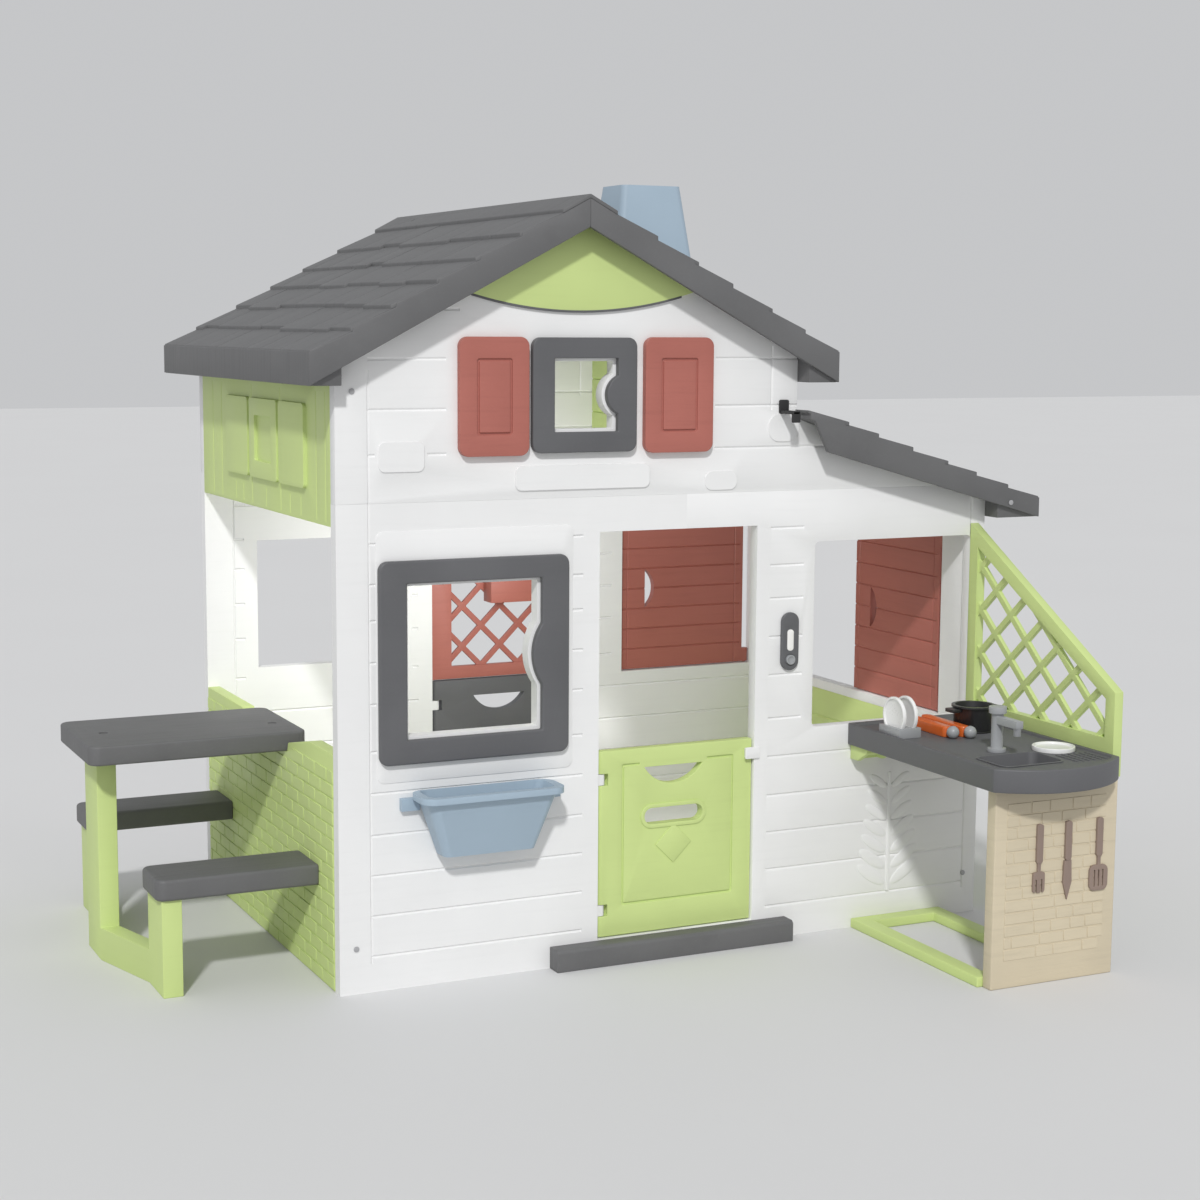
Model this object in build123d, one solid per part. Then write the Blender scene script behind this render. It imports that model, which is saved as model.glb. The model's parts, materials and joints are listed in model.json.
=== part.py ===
from build123d import *
import math
import os

# Garden playhouse in moulded plastic, with a picnic table on its left and a play kitchen at its
# right front. Millimetres, +Z up. Pieces are drawn in the house frame: X runs right along the
# front wall, Y runs back from its outer face, and Z = 0 is the ground. write_node() then moves
# every piece so that the origin is the middle of the whole object's footprint.

# ---------------------------------------------------------------- driving dimensions: the house
house_width = 1575
house_depth = 1020
gable_width = 1065
wall = 30
seam_height = 1014
front_seam_x = 794
gap = 3
slip = 0.16
rest_gap = 0.3

ridge_height = 1640
roof_pitch = 28
roof_overhang_side = 70
roof_overhang_end = 60
roof_skin = 18
fascia_drop = 58
roof_skirt = 12
course_step = 8
course_count = 6
cap_thickness = 8
cap_half_width = 62

lean_top = 1190
lean_pitch = 19
lean_overhang = 109
lean_skin = 16
lean_course_count = 7
lean_fascia_pitch = 15.7
lean_fascia_start = (46, 1101)
lean_fascia_top_inset = 12

# ------------------------------------------------------------------ driving dimensions: openings
door_left = 586
door_right = 970
door_sill = 49
door_head = 939
half_door_height = 411
door_thickness = 22
hinge_pin_radius = 4
hinge_lug_height = 24
hinge_lug_insets = (58, 63)
hinge_lug_reach = 8
grip_offset = -6
moon_level_drop = 43
moon_span = 143
moon_depth = 40
moon_margin = 12
slot_level_drop = 153
slot_height = 36
door_line_inset = (46, 46, 66, 32)

side_opening_sides = (1118, 1538)
side_opening_sill_drop = 3
side_opening_head = 898
side_opening_radius = 12
large_window = (146, 447, 527, 850)
large_frame_margin = (60, 62, 51, 47)
large_bump = (21, 130)
attic_window = (474, 620, 1152, 1305)
attic_frame_margin = (50, 44, 43, 43)
attic_bump = (26, 80)
frame_proud = 16
frame_lip = 6
frame_corner = 20

rear_window = (128, 500, 530, 845)
shutter_height = 432
shutter_reach = 392
shutter_thickness = 18
shutter_foot = 458
shutter_pin_radius = 5
shutter_pin_length = 10
shutter_lug_height = 36
shutter_moon_setback = 34
shutter_moon_radius = 62
shutter_moon_edge = 34
right_window_depth = 626
right_window_front = 124
rear_shutter_hinge_side = 1524

attic_panel_foot = 967
attic_relief_levels = (1034, 1210)
attic_relief_proud = 8
attic_relief_shutters = ((182, 356), (590, 764))
attic_relief_window = (371, 575)
attic_relief_border = (40, 38)
attic_relief_corners = (10, 8, 4)
right_attic_foot = 1085
left_panel_top = 500
left_panel_back_top = 490
left_panel_front_run = 190
left_panel_shoulder = (8, 30)
left_panel_back_shoulder = 10
right_lower_top = 432
right_sill = 455

# --------------------------------------------------------- driving dimensions: fittings outside
attic_shutters = ((262, 416), (684, 847))
attic_shutter_levels = (1105, 1349)
attic_shutter_border = (38, 44)
groove_width = 5
groove_depth = 4
threshold = (472, 1055, 42, 48)
threshold_chamfer = 6
door_stop_level_drop = 31
door_stop_size = (36, 26, 5)
door_stop_lap = 24
bell_centre = 1054
bell_size = (44, 130)
bell_foot = 613
bell_button_radius = 11
bell_button_travel = 4
bell_button_rise = 24
bell_thickness = 8
bell_lens_half_width = 8
bell_lens_rise = (44, 92)
bell_lens_corner = 7
bell_lens_seat = 4
bell_button_tail = 12
bell_button_dish = 4
housing_margin = (30, 6, 10, 28)
planter_centre = 311
planter_rim = (318, 100, 418)
planter_floor = (205, 62, 285)
planter_wall = 4
planter_lip = 13
planter_body_margin = (28, 14)
planter_corners = (16, 22, 30)
planter_lug = (40, 26, 14)
chimney_top = (152, 120, 1697)
chimney_centre = (932, 510)
chimney_flare = 0.13
chimney_corner = 16
badge_sagitta = 35
badge_half_chord = 246
badge_foot = 1403
badge_thickness = 6
badge_apex_drop = 14
letter_box_size = (118, 52, 78, 5)
letter_box_left = 732
letter_box_foot = 664

# ------------------------------------------------------------- driving dimensions: picnic table
table_top_height = 490
table_thickness = 42
table_left = -425
table_right = 50
table_front = 355
table_depth = 320
table_notch_slack = 8
table_corner = 26
bench_corner = 22
bench_root = 40
bench_leg_inset = 12
foot_bar_lap = 10
bench_height = 250
bench_thickness = 45
bench_left = -345
bench_depth = 140
front_bench_front = 125
rear_bench_front = 775
leg_thickness = 42
leg_depth = 120
table_leg_left = -390
foot_bar_height = 72

# -------------------------------------------------------------- driving dimensions: play kitchen
counter_left = 1214
counter_right = 1536
counter_depth = 555
counter_bow = 65
counter_top = 481
counter_thickness = 50
counter_rim = 12
counter_recess = 6
kitchen_panel = (1245, 1560)
kitchen_panel_front = -525
kitchen_panel_thickness = 30
trellis_thickness = 22
trellis_depth = 533
trellis_rises = (444, 131)
trellis_frame = 30
trellis_bar = 14
trellis_pitch = (114, 100)
lattice_pitch = (105, 105)
lattice_frame = 56
lattice_recess = 4
lattice_inset = 6
lattice_bar_thickness = 10
lattice_rails = (32, 26)
base_frame = (1232, 1475, 495)
base_bar = 40
base_height = 22
bracket = (76, 70, 34, 12)
bracket_offset = 8
bracket_lip = 10
bracket_knee = 30
bracket_wall = 12
bracket_roof = 8
sink = (1262, 1412, -530, -425, 34)
sink_corner = 18
sink_wall = 3
sink_lip = (3, 2)
hob_centre = (1440, -165)
hob_radius = 47
hob_thickness = 4
hob_rings = (40, 36, 1)
pot_radius = 44
pot_height = 55
pot_wall = 3
pot_rim = (5, 5)
pot_grip = (14, 17, 42, 7, 8)
pot_grip_reach = 54
tap_place = (1345, -385)
tap_height = 84
tap_base = (20, 8)
tap_column_radius = 13
tap_head = (19, 14)
tap_spout = (9, 78, 8, 24, 8)
plate_radius = 42
plate_thickness = 8
plate_edge = 6
rack_place = (1240, -150)
rack_size = (14, 44, 40, 22)
rack_slot_shifts = (0, 30)
rack_slot_rise = 4
flat_plate_place = (1468, -420)
flat_plate_radius = 46
flat_plate_thickness = 10
utensils = ((1342, -48), (1378, -62))
utensil_size = (24, 166, 24)
utensil_tip_radius = 14
cutlery_centres = (1356, 1430, 1512)
cutlery_proud = 7
cutlery_handle = (8, 262, 347)
screw_radius = 6
screw_proud = 2
screw_places = ((36, 96), (36, 1240), (house_width - 34, 96))
lean_screw_setback = 28

# ------------------------------------------------------------------------------- worked-out sizes
slope = math.tan(math.radians(roof_pitch))
skin_drop = roof_skin / math.cos(math.radians(roof_pitch))
cap_drop = cap_thickness / math.cos(math.radians(roof_pitch))
ridge_x = gable_width / 2
roof_half = ridge_x + roof_overhang_side
roof_front = -roof_overhang_end
roof_back = house_depth + roof_overhang_end
lean_slope = math.tan(math.radians(lean_pitch))
lean_drop = lean_skin / math.cos(math.radians(lean_pitch))
lean_fascia_slope = math.tan(math.radians(lean_fascia_pitch))
lean_tip = house_width + lean_overhang
leaf_foot = door_sill + gap
leaf_top = leaf_foot + half_door_height
hinge_lug_levels = (leaf_foot + hinge_lug_insets[0], leaf_top - hinge_lug_insets[1])
hinge_inset = gap + door_thickness / 2
front_hinge = (door_left + hinge_inset, wall - gap / 2 - door_thickness / 2)
rear_hinge = (door_left + hinge_inset, house_depth - wall + gap / 2 + door_thickness / 2)
lug_clearance = math.hypot(hinge_inset, hinge_lug_reach) + slip
grip_x = (door_left + door_right) / 2 + grip_offset
shutter_setback = gap + shutter_thickness / 2
right_shutter_axis = (house_width - shutter_thickness / 2, right_window_front + shutter_setback)
rear_shutter_axis = (rear_shutter_hinge_side - shutter_setback, house_depth - shutter_thickness / 2)
shutter_top = shutter_foot + shutter_height
bell_button_level = bell_foot + bell_button_rise
table_underside = table_top_height - table_thickness
bench_underside = bench_height - bench_thickness
counter_underside = counter_top - counter_thickness
counter_floor = counter_top - counter_recess
side_opening_sill = counter_top - side_opening_sill_drop
trellis_high = counter_top + trellis_rises[0]
trellis_low = counter_top + trellis_rises[1]
origin_x = (table_left + lean_tip) / 2
origin_y = (roof_back - counter_depth - counter_bow) / 2


def roof_top(x):
    """Height of the main roof's plain top surface, without its shingle butts."""
    return ridge_height - cap_drop - slope * abs(x - ridge_x)


def roof_under(x):
    return roof_top(x) - skin_drop


def lean_roof_top(x):
    return lean_top - lean_slope * (x - gable_width)


def lean_under(x):
    return lean_roof_top(x) - lean_drop


def lean_fascia_foot(x):
    start_x, start_z = lean_fascia_start
    return start_z - lean_fascia_slope * (x - gable_width - start_x)


# ------------------------------------------------------------------------------------ shape tools
def block(x0, x1, y0, y1, z0, z1):
    middle = Pos((x0 + x1) / 2, (y0 + y1) / 2, (z0 + z1) / 2)
    return middle * Box(x1 - x0, y1 - y0, z1 - z0)


def prism_along_y(points, y0, y1):
    """A closed outline of (x, z) points, carried from y0 to y1."""
    outline = make_face(Plane.XZ.offset(-y1) * Polyline(*points, close=True))
    return extrude(outline, amount=y1 - y0, dir=(0, -1, 0))


def prism_along_x(points, x0, x1):
    """A closed outline of (y, z) points, carried from x0 to x1."""
    outline = make_face(Plane.YZ.offset(x0) * Polyline(*points, close=True))
    return extrude(outline, amount=x1 - x0, dir=(1, 0, 0))


def prism_along_z(points, z0, z1):
    """A closed outline of (x, y) points, carried from z0 to z1."""
    outline = make_face(Plane.XY.offset(z0) * Polyline(*points, close=True))
    return extrude(outline, amount=z1 - z0, dir=(0, 0, 1))


def pad(x0, x1, z0, z1, y0, y1, radius):
    """A rounded rectangle in a wall that faces Y, carried from y0 to y1."""
    middle = Pos((x0 + x1) / 2, (z0 + z1) / 2)
    outline = Plane.XZ.offset(-y1) * middle * RectangleRounded(x1 - x0, z1 - z0, radius)
    return extrude(outline, amount=y1 - y0, dir=(0, -1, 0))


def side_pad(y0, y1, z0, z1, x0, x1, radius):
    """A rounded rectangle in a wall that faces X, carried from x0 to x1."""
    middle = Pos((y0 + y1) / 2, (z0 + z1) / 2)
    outline = Plane.YZ.offset(x0) * middle * RectangleRounded(y1 - y0, z1 - z0, radius)
    return extrude(outline, amount=x1 - x0, dir=(1, 0, 0))


def rod_along_y(x, z, y0, y1, radius):
    outline = Plane.XZ.offset(-y1) * Pos(x, z) * Circle(radius)
    return extrude(outline, amount=y1 - y0, dir=(0, -1, 0))


def post(x, y, z0, z1, radius):
    return Pos(x, y, (z0 + z1) / 2) * Cylinder(radius, z1 - z0)


def ring_groove(x0, x1, z0, z1, face_y):
    """The cutter for a rectangular line sunk into a face that looks to the front."""
    outer = pad(x0, x1, z0, z1, face_y, face_y + groove_depth, groove_width)
    inner = pad(
        x0 + groove_width,
        x1 - groove_width,
        z0 + groove_width,
        z1 - groove_width,
        face_y,
        face_y + groove_depth,
        groove_width / 2,
    )
    return outer - inner


def joined(pieces):
    """All the pieces as one shape."""
    result = pieces[0]
    for piece in pieces[1:]:
        result = result + piece
    return result


def write_node(name, shape):
    """Moves a piece from the house frame to the part's own origin and writes its STEP file."""
    placed = Pos(-origin_x, -origin_y, 0) * shape
    placed.label = name
    export_step(placed, f"parts/{name}.step")


# ------------------------------------------------------------------------------------------ walls
def wall_outline():
    """The front and rear walls' outline: the gable with the lean-to at its right."""
    return [
        (0, 0),
        (house_width, 0),
        (house_width, lean_under(house_width)),
        (gable_width, lean_under(gable_width)),
        (gable_width, roof_under(gable_width)),
        (ridge_x, roof_under(ridge_x)),
        (0, roof_under(0)),
    ]


def split_wall(solid, seam_x, y0, y1):
    """A wall cut into its left, right and gable mouldings."""
    left_region = block(-1, seam_x, y0 - 1, y1 + 1, -1, seam_height)
    right_region = block(seam_x, house_width + 1, y0 - 1, y1 + 1, -1, seam_height)
    upper_region = block(-1, house_width + 1, y0 - 1, y1 + 1, seam_height, ridge_height)
    return solid & left_region, solid & right_region, solid & upper_region


def window_cutter(window, bump, inset, y0, y1):
    """A window's clear opening, with a rounded finger bump on its right edge."""
    x0, x1, z0, z1 = window
    depth, height = bump
    radius = (height**2 / 4 + depth**2) / (2 * depth)
    opening = block(x0 + inset, x1 - inset, y0, y1, z0 + inset, z1 - inset)
    bump_rod = rod_along_y(x1 - depth + radius, (z0 + z1) / 2, y0, y1, radius + inset)
    return opening - bump_rod


def hinge_lugs(axis_x, axis_y, jamb_x):
    """Two lugs that stand out of the left jamb and hold a half door's pins."""
    lugs = []
    for level in hinge_lug_levels:
        foot = level - hinge_lug_height / 2
        top = level + hinge_lug_height / 2
        arm = block(jamb_x - gap, axis_x, axis_y - hinge_lug_reach, axis_y + hinge_lug_reach, foot, top)
        lug = arm + post(axis_x, axis_y, foot, top, hinge_lug_reach)
        lugs.append(lug - post(axis_x, axis_y, foot, top, hinge_pin_radius + slip / 2))
    return lugs


def front_wall():
    solid = prism_along_y(wall_outline(), 0, wall)
    solid -= window_cutter(large_window, large_bump, frame_lip, -1, wall + 1)
    solid -= window_cutter(attic_window, attic_bump, frame_lip, -1, wall + 1)
    solid -= block(door_left, door_right, -1, wall + 1, door_sill, door_head)
    edges = (*side_opening_sides, side_opening_sill, side_opening_head)
    solid -= pad(*edges, -1, wall + 1, side_opening_radius)
    solid -= rod_along_y(bell_centre, bell_button_level, -1, wall + 1, bell_button_radius + 2)
    return joined([solid] + hinge_lugs(*front_hinge, door_left))


def rear_wall():
    solid = prism_along_y(wall_outline(), house_depth - wall, house_depth)
    inside, outside = house_depth - wall - 1, house_depth + 1
    x0, x1, z0, z1 = rear_window
    solid -= block(x0, x1, inside, outside, z0, z1)
    solid -= block(door_left, door_right, inside, outside, door_sill, door_head)
    window_left = rear_shutter_hinge_side - shutter_reach - 2 * gap
    levels = (shutter_foot - gap, shutter_top + gap)
    solid -= block(window_left, rear_shutter_hinge_side, inside, outside, *levels)
    solid -= shutter_pin_bores(rear_shutter_axis)
    return joined([solid] + hinge_lugs(*rear_hinge, door_left))


def left_lower_panel():
    """The side wall below the picnic table, with a saddle that the table top lies in."""
    front, back = wall, house_depth - wall
    saddle_front = table_front - table_notch_slack
    saddle_back = table_front + table_depth + table_notch_slack
    shoulder_run, shoulder_drop = left_panel_shoulder
    outline = [
        (front, 0),
        (back, 0),
        (back, left_panel_back_top),
        (saddle_back + left_panel_back_shoulder, left_panel_back_top),
        (saddle_back, table_underside),
        (saddle_front, table_underside),
        (saddle_front - shoulder_run, left_panel_top - shoulder_drop),
        (left_panel_front_run, left_panel_top),
        (front, left_panel_top),
    ]
    return prism_along_x(outline, 0, wall)


def attic_side_panel(inner_x, outer_x, foot):
    """A side wall of the loft, cut along the roof's slope at its top."""
    outline = [
        (outer_x, foot),
        (inner_x, foot),
        (inner_x, roof_under(inner_x)),
        (outer_x, roof_under(outer_x)),
    ]
    return prism_along_y(outline, wall, house_depth - wall)


def left_attic_panel():
    """The loft's left wall, with a moulded window between two moulded shutters."""
    solid = attic_side_panel(wall, 0, attic_panel_foot)
    foot, top = attic_relief_levels
    face = -attic_relief_proud
    shutter_corner, window_corner, pane_corner = attic_relief_corners
    for y0, y1 in attic_relief_shutters:
        solid += side_pad(y0, y1, foot, top, face, 0, shutter_corner)
    y0, y1 = attic_relief_window
    border_y, border_z = attic_relief_border
    solid += side_pad(y0, y1, foot, top, face, 0, window_corner)
    pane = (y0 + border_y, y1 - border_y, foot + border_z, top - border_z)
    return solid - side_pad(*pane, face - 1, -1, pane_corner)


def right_window_panel():
    """The white frame around the right wall's window, with the shutter's pivot bores."""
    outline = [
        (house_width - wall, right_lower_top),
        (house_width, right_lower_top),
        (house_width, lean_under(house_width)),
        (house_width - wall, lean_under(house_width - wall)),
    ]
    solid = prism_along_y(outline, wall, house_depth - wall)
    window_back = right_window_front + right_window_depth
    head = shutter_top + gap
    span = (right_window_front, window_back)
    solid -= block(house_width - wall - 1, house_width + 1, *span, right_sill, head)
    return solid - shutter_pin_bores(right_shutter_axis)


# ----------------------------------------------------------------------------------------- roofs
def course_line(start_x, end_x, count, height_at):
    """Points along a shingled slope: each course rises to its butt, then drops to the next."""
    pitch = (end_x - start_x) / count
    points = [(start_x, height_at(start_x))]
    for course in range(1, count + 1):
        x = start_x + pitch * course
        points.append((x, height_at(x) + course_step))
        if course < count:
            points.append((x, height_at(x)))
    return points


def roof_half_panel(side):
    """One slope of the main roof: side is 1 for the right slope and -1 for the left one."""
    eave = ridge_x + side * roof_half
    cap_edge = ridge_x + side * cap_half_width
    shingles = course_line(cap_edge, eave, course_count, roof_top)
    slab = [(ridge_x, roof_top(ridge_x))] + shingles
    slab += [(eave, roof_under(eave)), (ridge_x, roof_under(ridge_x))]
    skirt = [
        (ridge_x, roof_under(ridge_x)),
        (eave, roof_under(eave)),
        (eave, roof_top(eave) - fascia_drop),
        (ridge_x, roof_top(ridge_x) - fascia_drop),
    ]
    wall_x = ridge_x + side * gable_width / 2
    soffit = [
        (wall_x, roof_under(wall_x)),
        (eave, roof_under(eave)),
        (eave, roof_top(eave) - fascia_drop),
        (wall_x, roof_top(eave) - fascia_drop),
    ]
    return joined(
        [
            prism_along_y(slab, roof_front, roof_back),
            prism_along_y(skirt, roof_front, roof_front + roof_skirt),
            prism_along_y(skirt, roof_back - roof_skirt, roof_back),
            prism_along_y(soffit, roof_front + roof_skirt, roof_back - roof_skirt),
        ]
    )


def ridge_cap():
    left, right = ridge_x - cap_half_width, ridge_x + cap_half_width
    outline = [
        (ridge_x, ridge_height),
        (right, roof_top(right) + cap_drop),
        (right, roof_top(right)),
        (ridge_x, roof_top(ridge_x)),
        (left, roof_top(left)),
        (left, roof_top(left) + cap_drop),
    ]
    return prism_along_y(outline, roof_front, roof_back)


def lean_to_roof():
    """The lower roof over the right of the house, with its deep tapered fascia."""
    top = course_line(gable_width, lean_tip, lean_course_count, lean_roof_top)
    slab = top + [(lean_tip, lean_under(lean_tip)), (gable_width, lean_under(gable_width))]
    top_inset = gable_width + lean_fascia_top_inset
    start_x = gable_width + lean_fascia_start[0]
    skirt = [
        (top_inset, lean_under(top_inset)),
        (lean_tip, lean_under(lean_tip)),
        (lean_tip, lean_fascia_foot(lean_tip)),
        (start_x, lean_fascia_foot(start_x)),
    ]
    soffit = [
        (house_width, lean_under(house_width)),
        (lean_tip, lean_under(lean_tip)),
        (lean_tip, lean_fascia_foot(lean_tip)),
        (house_width, lean_fascia_foot(lean_tip)),
    ]
    return joined(
        [
            prism_along_y(slab, roof_front, roof_back),
            prism_along_y(skirt, roof_front, roof_front + roof_skirt),
            prism_along_y(skirt, roof_back - roof_skirt, roof_back),
            prism_along_y(soffit, roof_front + roof_skirt, roof_back - roof_skirt),
        ]
    )


def chimney():
    """A closed tapered stack that stands on the right slope, cut to the shingles' profile."""
    width, depth, top = chimney_top
    x, y = chimney_centre
    foot = roof_top(x + width / 2 + 2 * chimney_flare * width) - course_step
    spread = 2 * chimney_flare * (top - foot)
    upper = RectangleRounded(width, depth, chimney_corner)
    lower = RectangleRounded(width + spread, depth + spread, chimney_corner)
    rings = [Plane.XY.offset(foot) * Pos(x, y) * lower, Plane.XY.offset(top) * Pos(x, y) * upper]
    return loft(rings) - roof_half_panel(1) - under_roof()


def under_roof():
    """Everything below the right slope's plain surface, as a cutter."""
    eave = ridge_x + roof_half
    outline = [(ridge_x, 0), (eave, 0), (eave, roof_top(eave)), (ridge_x, roof_top(ridge_x))]
    return prism_along_y(outline, 0, house_depth)


# ------------------------------------------------------------------- window frames and shutters
def window_frame(window, margin, bump):
    """A flat rounded surround on the wall's face, its inner edge following the opening."""
    x0, x1, z0, z1 = window
    left, right, foot, head = margin
    plate = pad(x0 - left, x1 + right, z0 - foot, z1 + head, -frame_proud, 0, frame_corner)
    return plate - window_cutter(window, bump, 0, -frame_proud - 1, 1)


def attic_shutter(x0, x1):
    foot, top = attic_shutter_levels
    plate = pad(x0, x1, foot, top, -frame_proud, 0, frame_corner)
    border_x, border_z = attic_shutter_border
    line = (x0 + border_x, x1 - border_x, foot + border_z, top - border_z)
    return plate - ring_groove(*line, -frame_proud)


def shutter_in_own_frame():
    """A shutter leaf: hinge axis on Z at the origin, leaf along +X, outer face towards -Y."""
    half = shutter_thickness / 2
    free_edge = shutter_reach - shutter_setback
    lug_top = shutter_foot + shutter_lug_height
    lug_foot = shutter_top - shutter_lug_height
    leaf = block(0, free_edge, -half, half, shutter_foot, shutter_top)
    leaf -= block(-half, half + gap, -half, half, lug_top, lug_foot)
    leaf += post(0, 0, shutter_foot, lug_top, half)
    leaf += post(0, 0, lug_foot, shutter_top, half)
    level = shutter_foot + shutter_height / 2
    radius = shutter_moon_radius
    centre = free_edge - shutter_moon_setback
    through = (-half - 1, half + 1)
    hole = rod_along_y(centre, level, *through, radius)
    straight_edge = centre - shutter_moon_edge
    hole &= block(centre - radius, straight_edge, *through, level - radius, level + radius)
    leaf -= hole
    pins = post(0, 0, shutter_foot - shutter_pin_length, shutter_foot, shutter_pin_radius)
    pins += post(0, 0, shutter_top, shutter_top + shutter_pin_length, shutter_pin_radius)
    return leaf + pins


def shutter_pin_bores(axis):
    """The two blind bores above and below a shutter, as a cutter."""
    radius = shutter_pin_radius + slip / 2
    lower = post(*axis, shutter_foot - shutter_pin_length - gap, shutter_foot, radius)
    upper = post(*axis, shutter_top, shutter_top + shutter_pin_length + gap, radius)
    return lower + upper


def right_shutter():
    return Pos(*right_shutter_axis) * Rot(0, 0, 90) * shutter_in_own_frame()


def rear_shutter():
    return Pos(*rear_shutter_axis) * Rot(0, 0, 180) * shutter_in_own_frame()


# -------------------------------------------------------------------------------- the half doors
def half_door(axis, face_y, face_side):
    """A half door with a moon grip, a slot grip and an inset line; its hinge edge is round."""
    axis_x, axis_y = axis
    half = door_thickness / 2
    right = door_right - gap
    leaf = block(axis_x, right, axis_y - half, axis_y + half, leaf_foot, leaf_top)
    leaf += post(axis_x, axis_y, leaf_foot, leaf_top, half)
    through = (axis_y - half - 1, axis_y + half + 1)
    left_end, right_end = grip_x - moon_span / 2, grip_x + moon_span / 2
    moon_level = leaf_top - moon_level_drop
    moon_radius = (moon_span**2 / 4 + moon_depth**2) / (2 * moon_depth)
    moon = rod_along_y(grip_x, moon_level + moon_radius - moon_depth, *through, moon_radius)
    leaf -= moon & block(left_end, right_end, *through, moon_level - moon_depth, moon_level)
    slot_level = leaf_top - slot_level_drop
    slot_ends = (slot_level - slot_height / 2, slot_level + slot_height / 2)
    leaf -= pad(left_end, right_end, *slot_ends, *through, slot_height / 2 - 0.01)
    skin = sorted((face_y, face_y + face_side * groove_depth))
    left_inset, right_inset, foot_inset, top_inset = door_line_inset
    inset = (axis_x + left_inset, right - right_inset, leaf_foot + foot_inset, leaf_top - top_inset)
    outer = pad(*inset, *skin, groove_width)
    inner_edges = [edge + turn * groove_width for edge, turn in zip(inset, (1, -1, 1, -1))]
    inner = pad(*inner_edges, *skin, groove_width / 2)
    bridge_foot = moon_level - moon_depth - moon_margin
    bridge_span = (left_end - moon_margin, right_end + moon_margin)
    leaf -= outer - inner - block(*bridge_span, *skin, bridge_foot, leaf_top)
    for level in hinge_lug_levels:
        clear = hinge_lug_height / 2 + 1
        leaf -= post(axis_x, axis_y, level - clear, level + clear, lug_clearance)
        bore_radius = hinge_pin_radius + slip / 2
        leaf -= post(axis_x, axis_y, level - 2 * clear, level + 2 * clear, bore_radius)
    return leaf


def hinge_pins(axis):
    pins = []
    for level in hinge_lug_levels:
        ends = (level - hinge_lug_height, level + hinge_lug_height)
        pins.append(post(*axis, *ends, hinge_pin_radius))
    return Compound(children=pins)


def front_door():
    return half_door(front_hinge, front_hinge[1] - door_thickness / 2, 1)


def rear_door():
    return half_door(rear_hinge, rear_hinge[1] + door_thickness / 2, -1)


def lattice_bars(width, height, pitch, bar, thickness):
    """Crossed bars over a rectangle that starts at the origin, as a flat sheet in XY."""
    step_x, step_y = pitch
    angle = math.degrees(math.atan2(step_y, step_x))
    length = 2 * math.hypot(width, height)
    spacing = step_x * math.sin(math.radians(angle))
    count = math.ceil(length / 2 / spacing)
    bars = []
    for direction in (angle, -angle):
        turn = Pos(width / 2, height / 2) * Rot(0, 0, direction)
        for index in range(-count, count + 1):
            bars.append(turn * Pos(0, (index + 0.5) * spacing) * Rectangle(length, bar))
    sheet = joined(bars) & Pos(width / 2, height / 2) * Rectangle(width, height)
    return extrude(sheet, amount=thickness)


def rear_lattice():
    """The red lattice that fills the rear doorway above its half door."""
    foot, top = leaf_top + gap, door_head
    y0, y1 = house_depth - wall + lattice_inset, house_depth - lattice_inset
    bottom_rail, top_rail = lattice_rails
    left, right = door_left + lattice_frame, door_right - lattice_frame
    sill, head = foot + bottom_rail, top - top_rail
    frame = block(door_left, door_right, y0, y1, foot, top)
    frame -= block(left, right, y0 - 1, y1 + 1, sill, head)
    size = (right - left + 2, head - sill + 2)
    bars = lattice_bars(*size, lattice_pitch, trellis_bar, lattice_bar_thickness)
    plane = Plane.XZ.offset(-y0 - lattice_recess - lattice_bar_thickness)
    return frame + plane * Pos(left - 1, sill - 1) * bars


def letter_box():
    """A small open-topped box that hangs on the lattice's inner face."""
    width, depth, height, skin = letter_box_size
    back = house_depth - wall + lattice_inset + lattice_recess
    x0, x1 = letter_box_left, letter_box_left + width
    z0, z1 = letter_box_foot, letter_box_foot + height
    hollow = block(x0 + skin, x1 - skin, back - depth + skin, back - skin, z0 + skin, z1 + 1)
    return block(x0, x1, back - depth, back, z0, z1) - hollow


# ------------------------------------------------------------------------- fittings on the front
def gable_badge():
    """The green plate under the gable's point, with a curved lower edge."""
    radius = (badge_half_chord**2 + badge_sagitta**2) / (2 * badge_sagitta)
    apex = roof_under(ridge_x) - badge_apex_drop
    rise = apex - badge_foot
    half = radius * (math.sqrt(slope**2 + 2 * rise / radius) - slope)
    corner = apex - slope * half
    plane = Plane.XZ
    edge = ThreePointArc((ridge_x - half, corner), (ridge_x, badge_foot), (ridge_x + half, corner))
    sides = Polyline((ridge_x + half, corner), (ridge_x, apex), (ridge_x - half, corner))
    outline = make_face(plane * (edge + sides))
    return extrude(outline, amount=badge_thickness, dir=(0, -1, 0))


def door_stop():
    """A tab on the right jamb that overlaps the leaf's face, so that it only swings inwards."""
    width, height, proud = door_stop_size
    left = door_right - door_stop_lap
    middle = leaf_top - door_stop_level_drop
    foot, top = middle - height / 2, middle + height / 2
    tab = pad(left, left + width, foot, top, -proud, 0, 3)
    leaf_face = front_hinge[1] - door_thickness / 2
    return tab + block(left + 2, door_right - gap / 2, 0, leaf_face - 0.5, foot + 2, top - 2)


def threshold_bar():
    left, right, depth, height = threshold
    chamfer = threshold_chamfer
    outline = [(-depth, 0), (0, 0), (0, height), (-depth + chamfer, height), (-depth, height - chamfer)]
    return prism_along_x(outline, left, right)


def bell_plate():
    width, height = bell_size
    left, right = bell_centre - width / 2, bell_centre + width / 2
    face = -bell_thickness
    plate = pad(left, right, bell_foot, bell_foot + height, face, 0, width / 2 - 0.5)
    plate -= rod_along_y(bell_centre, bell_button_level, face - 1, 1, bell_button_radius + 0.4)
    return plate - lens_shape(0)


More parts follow.
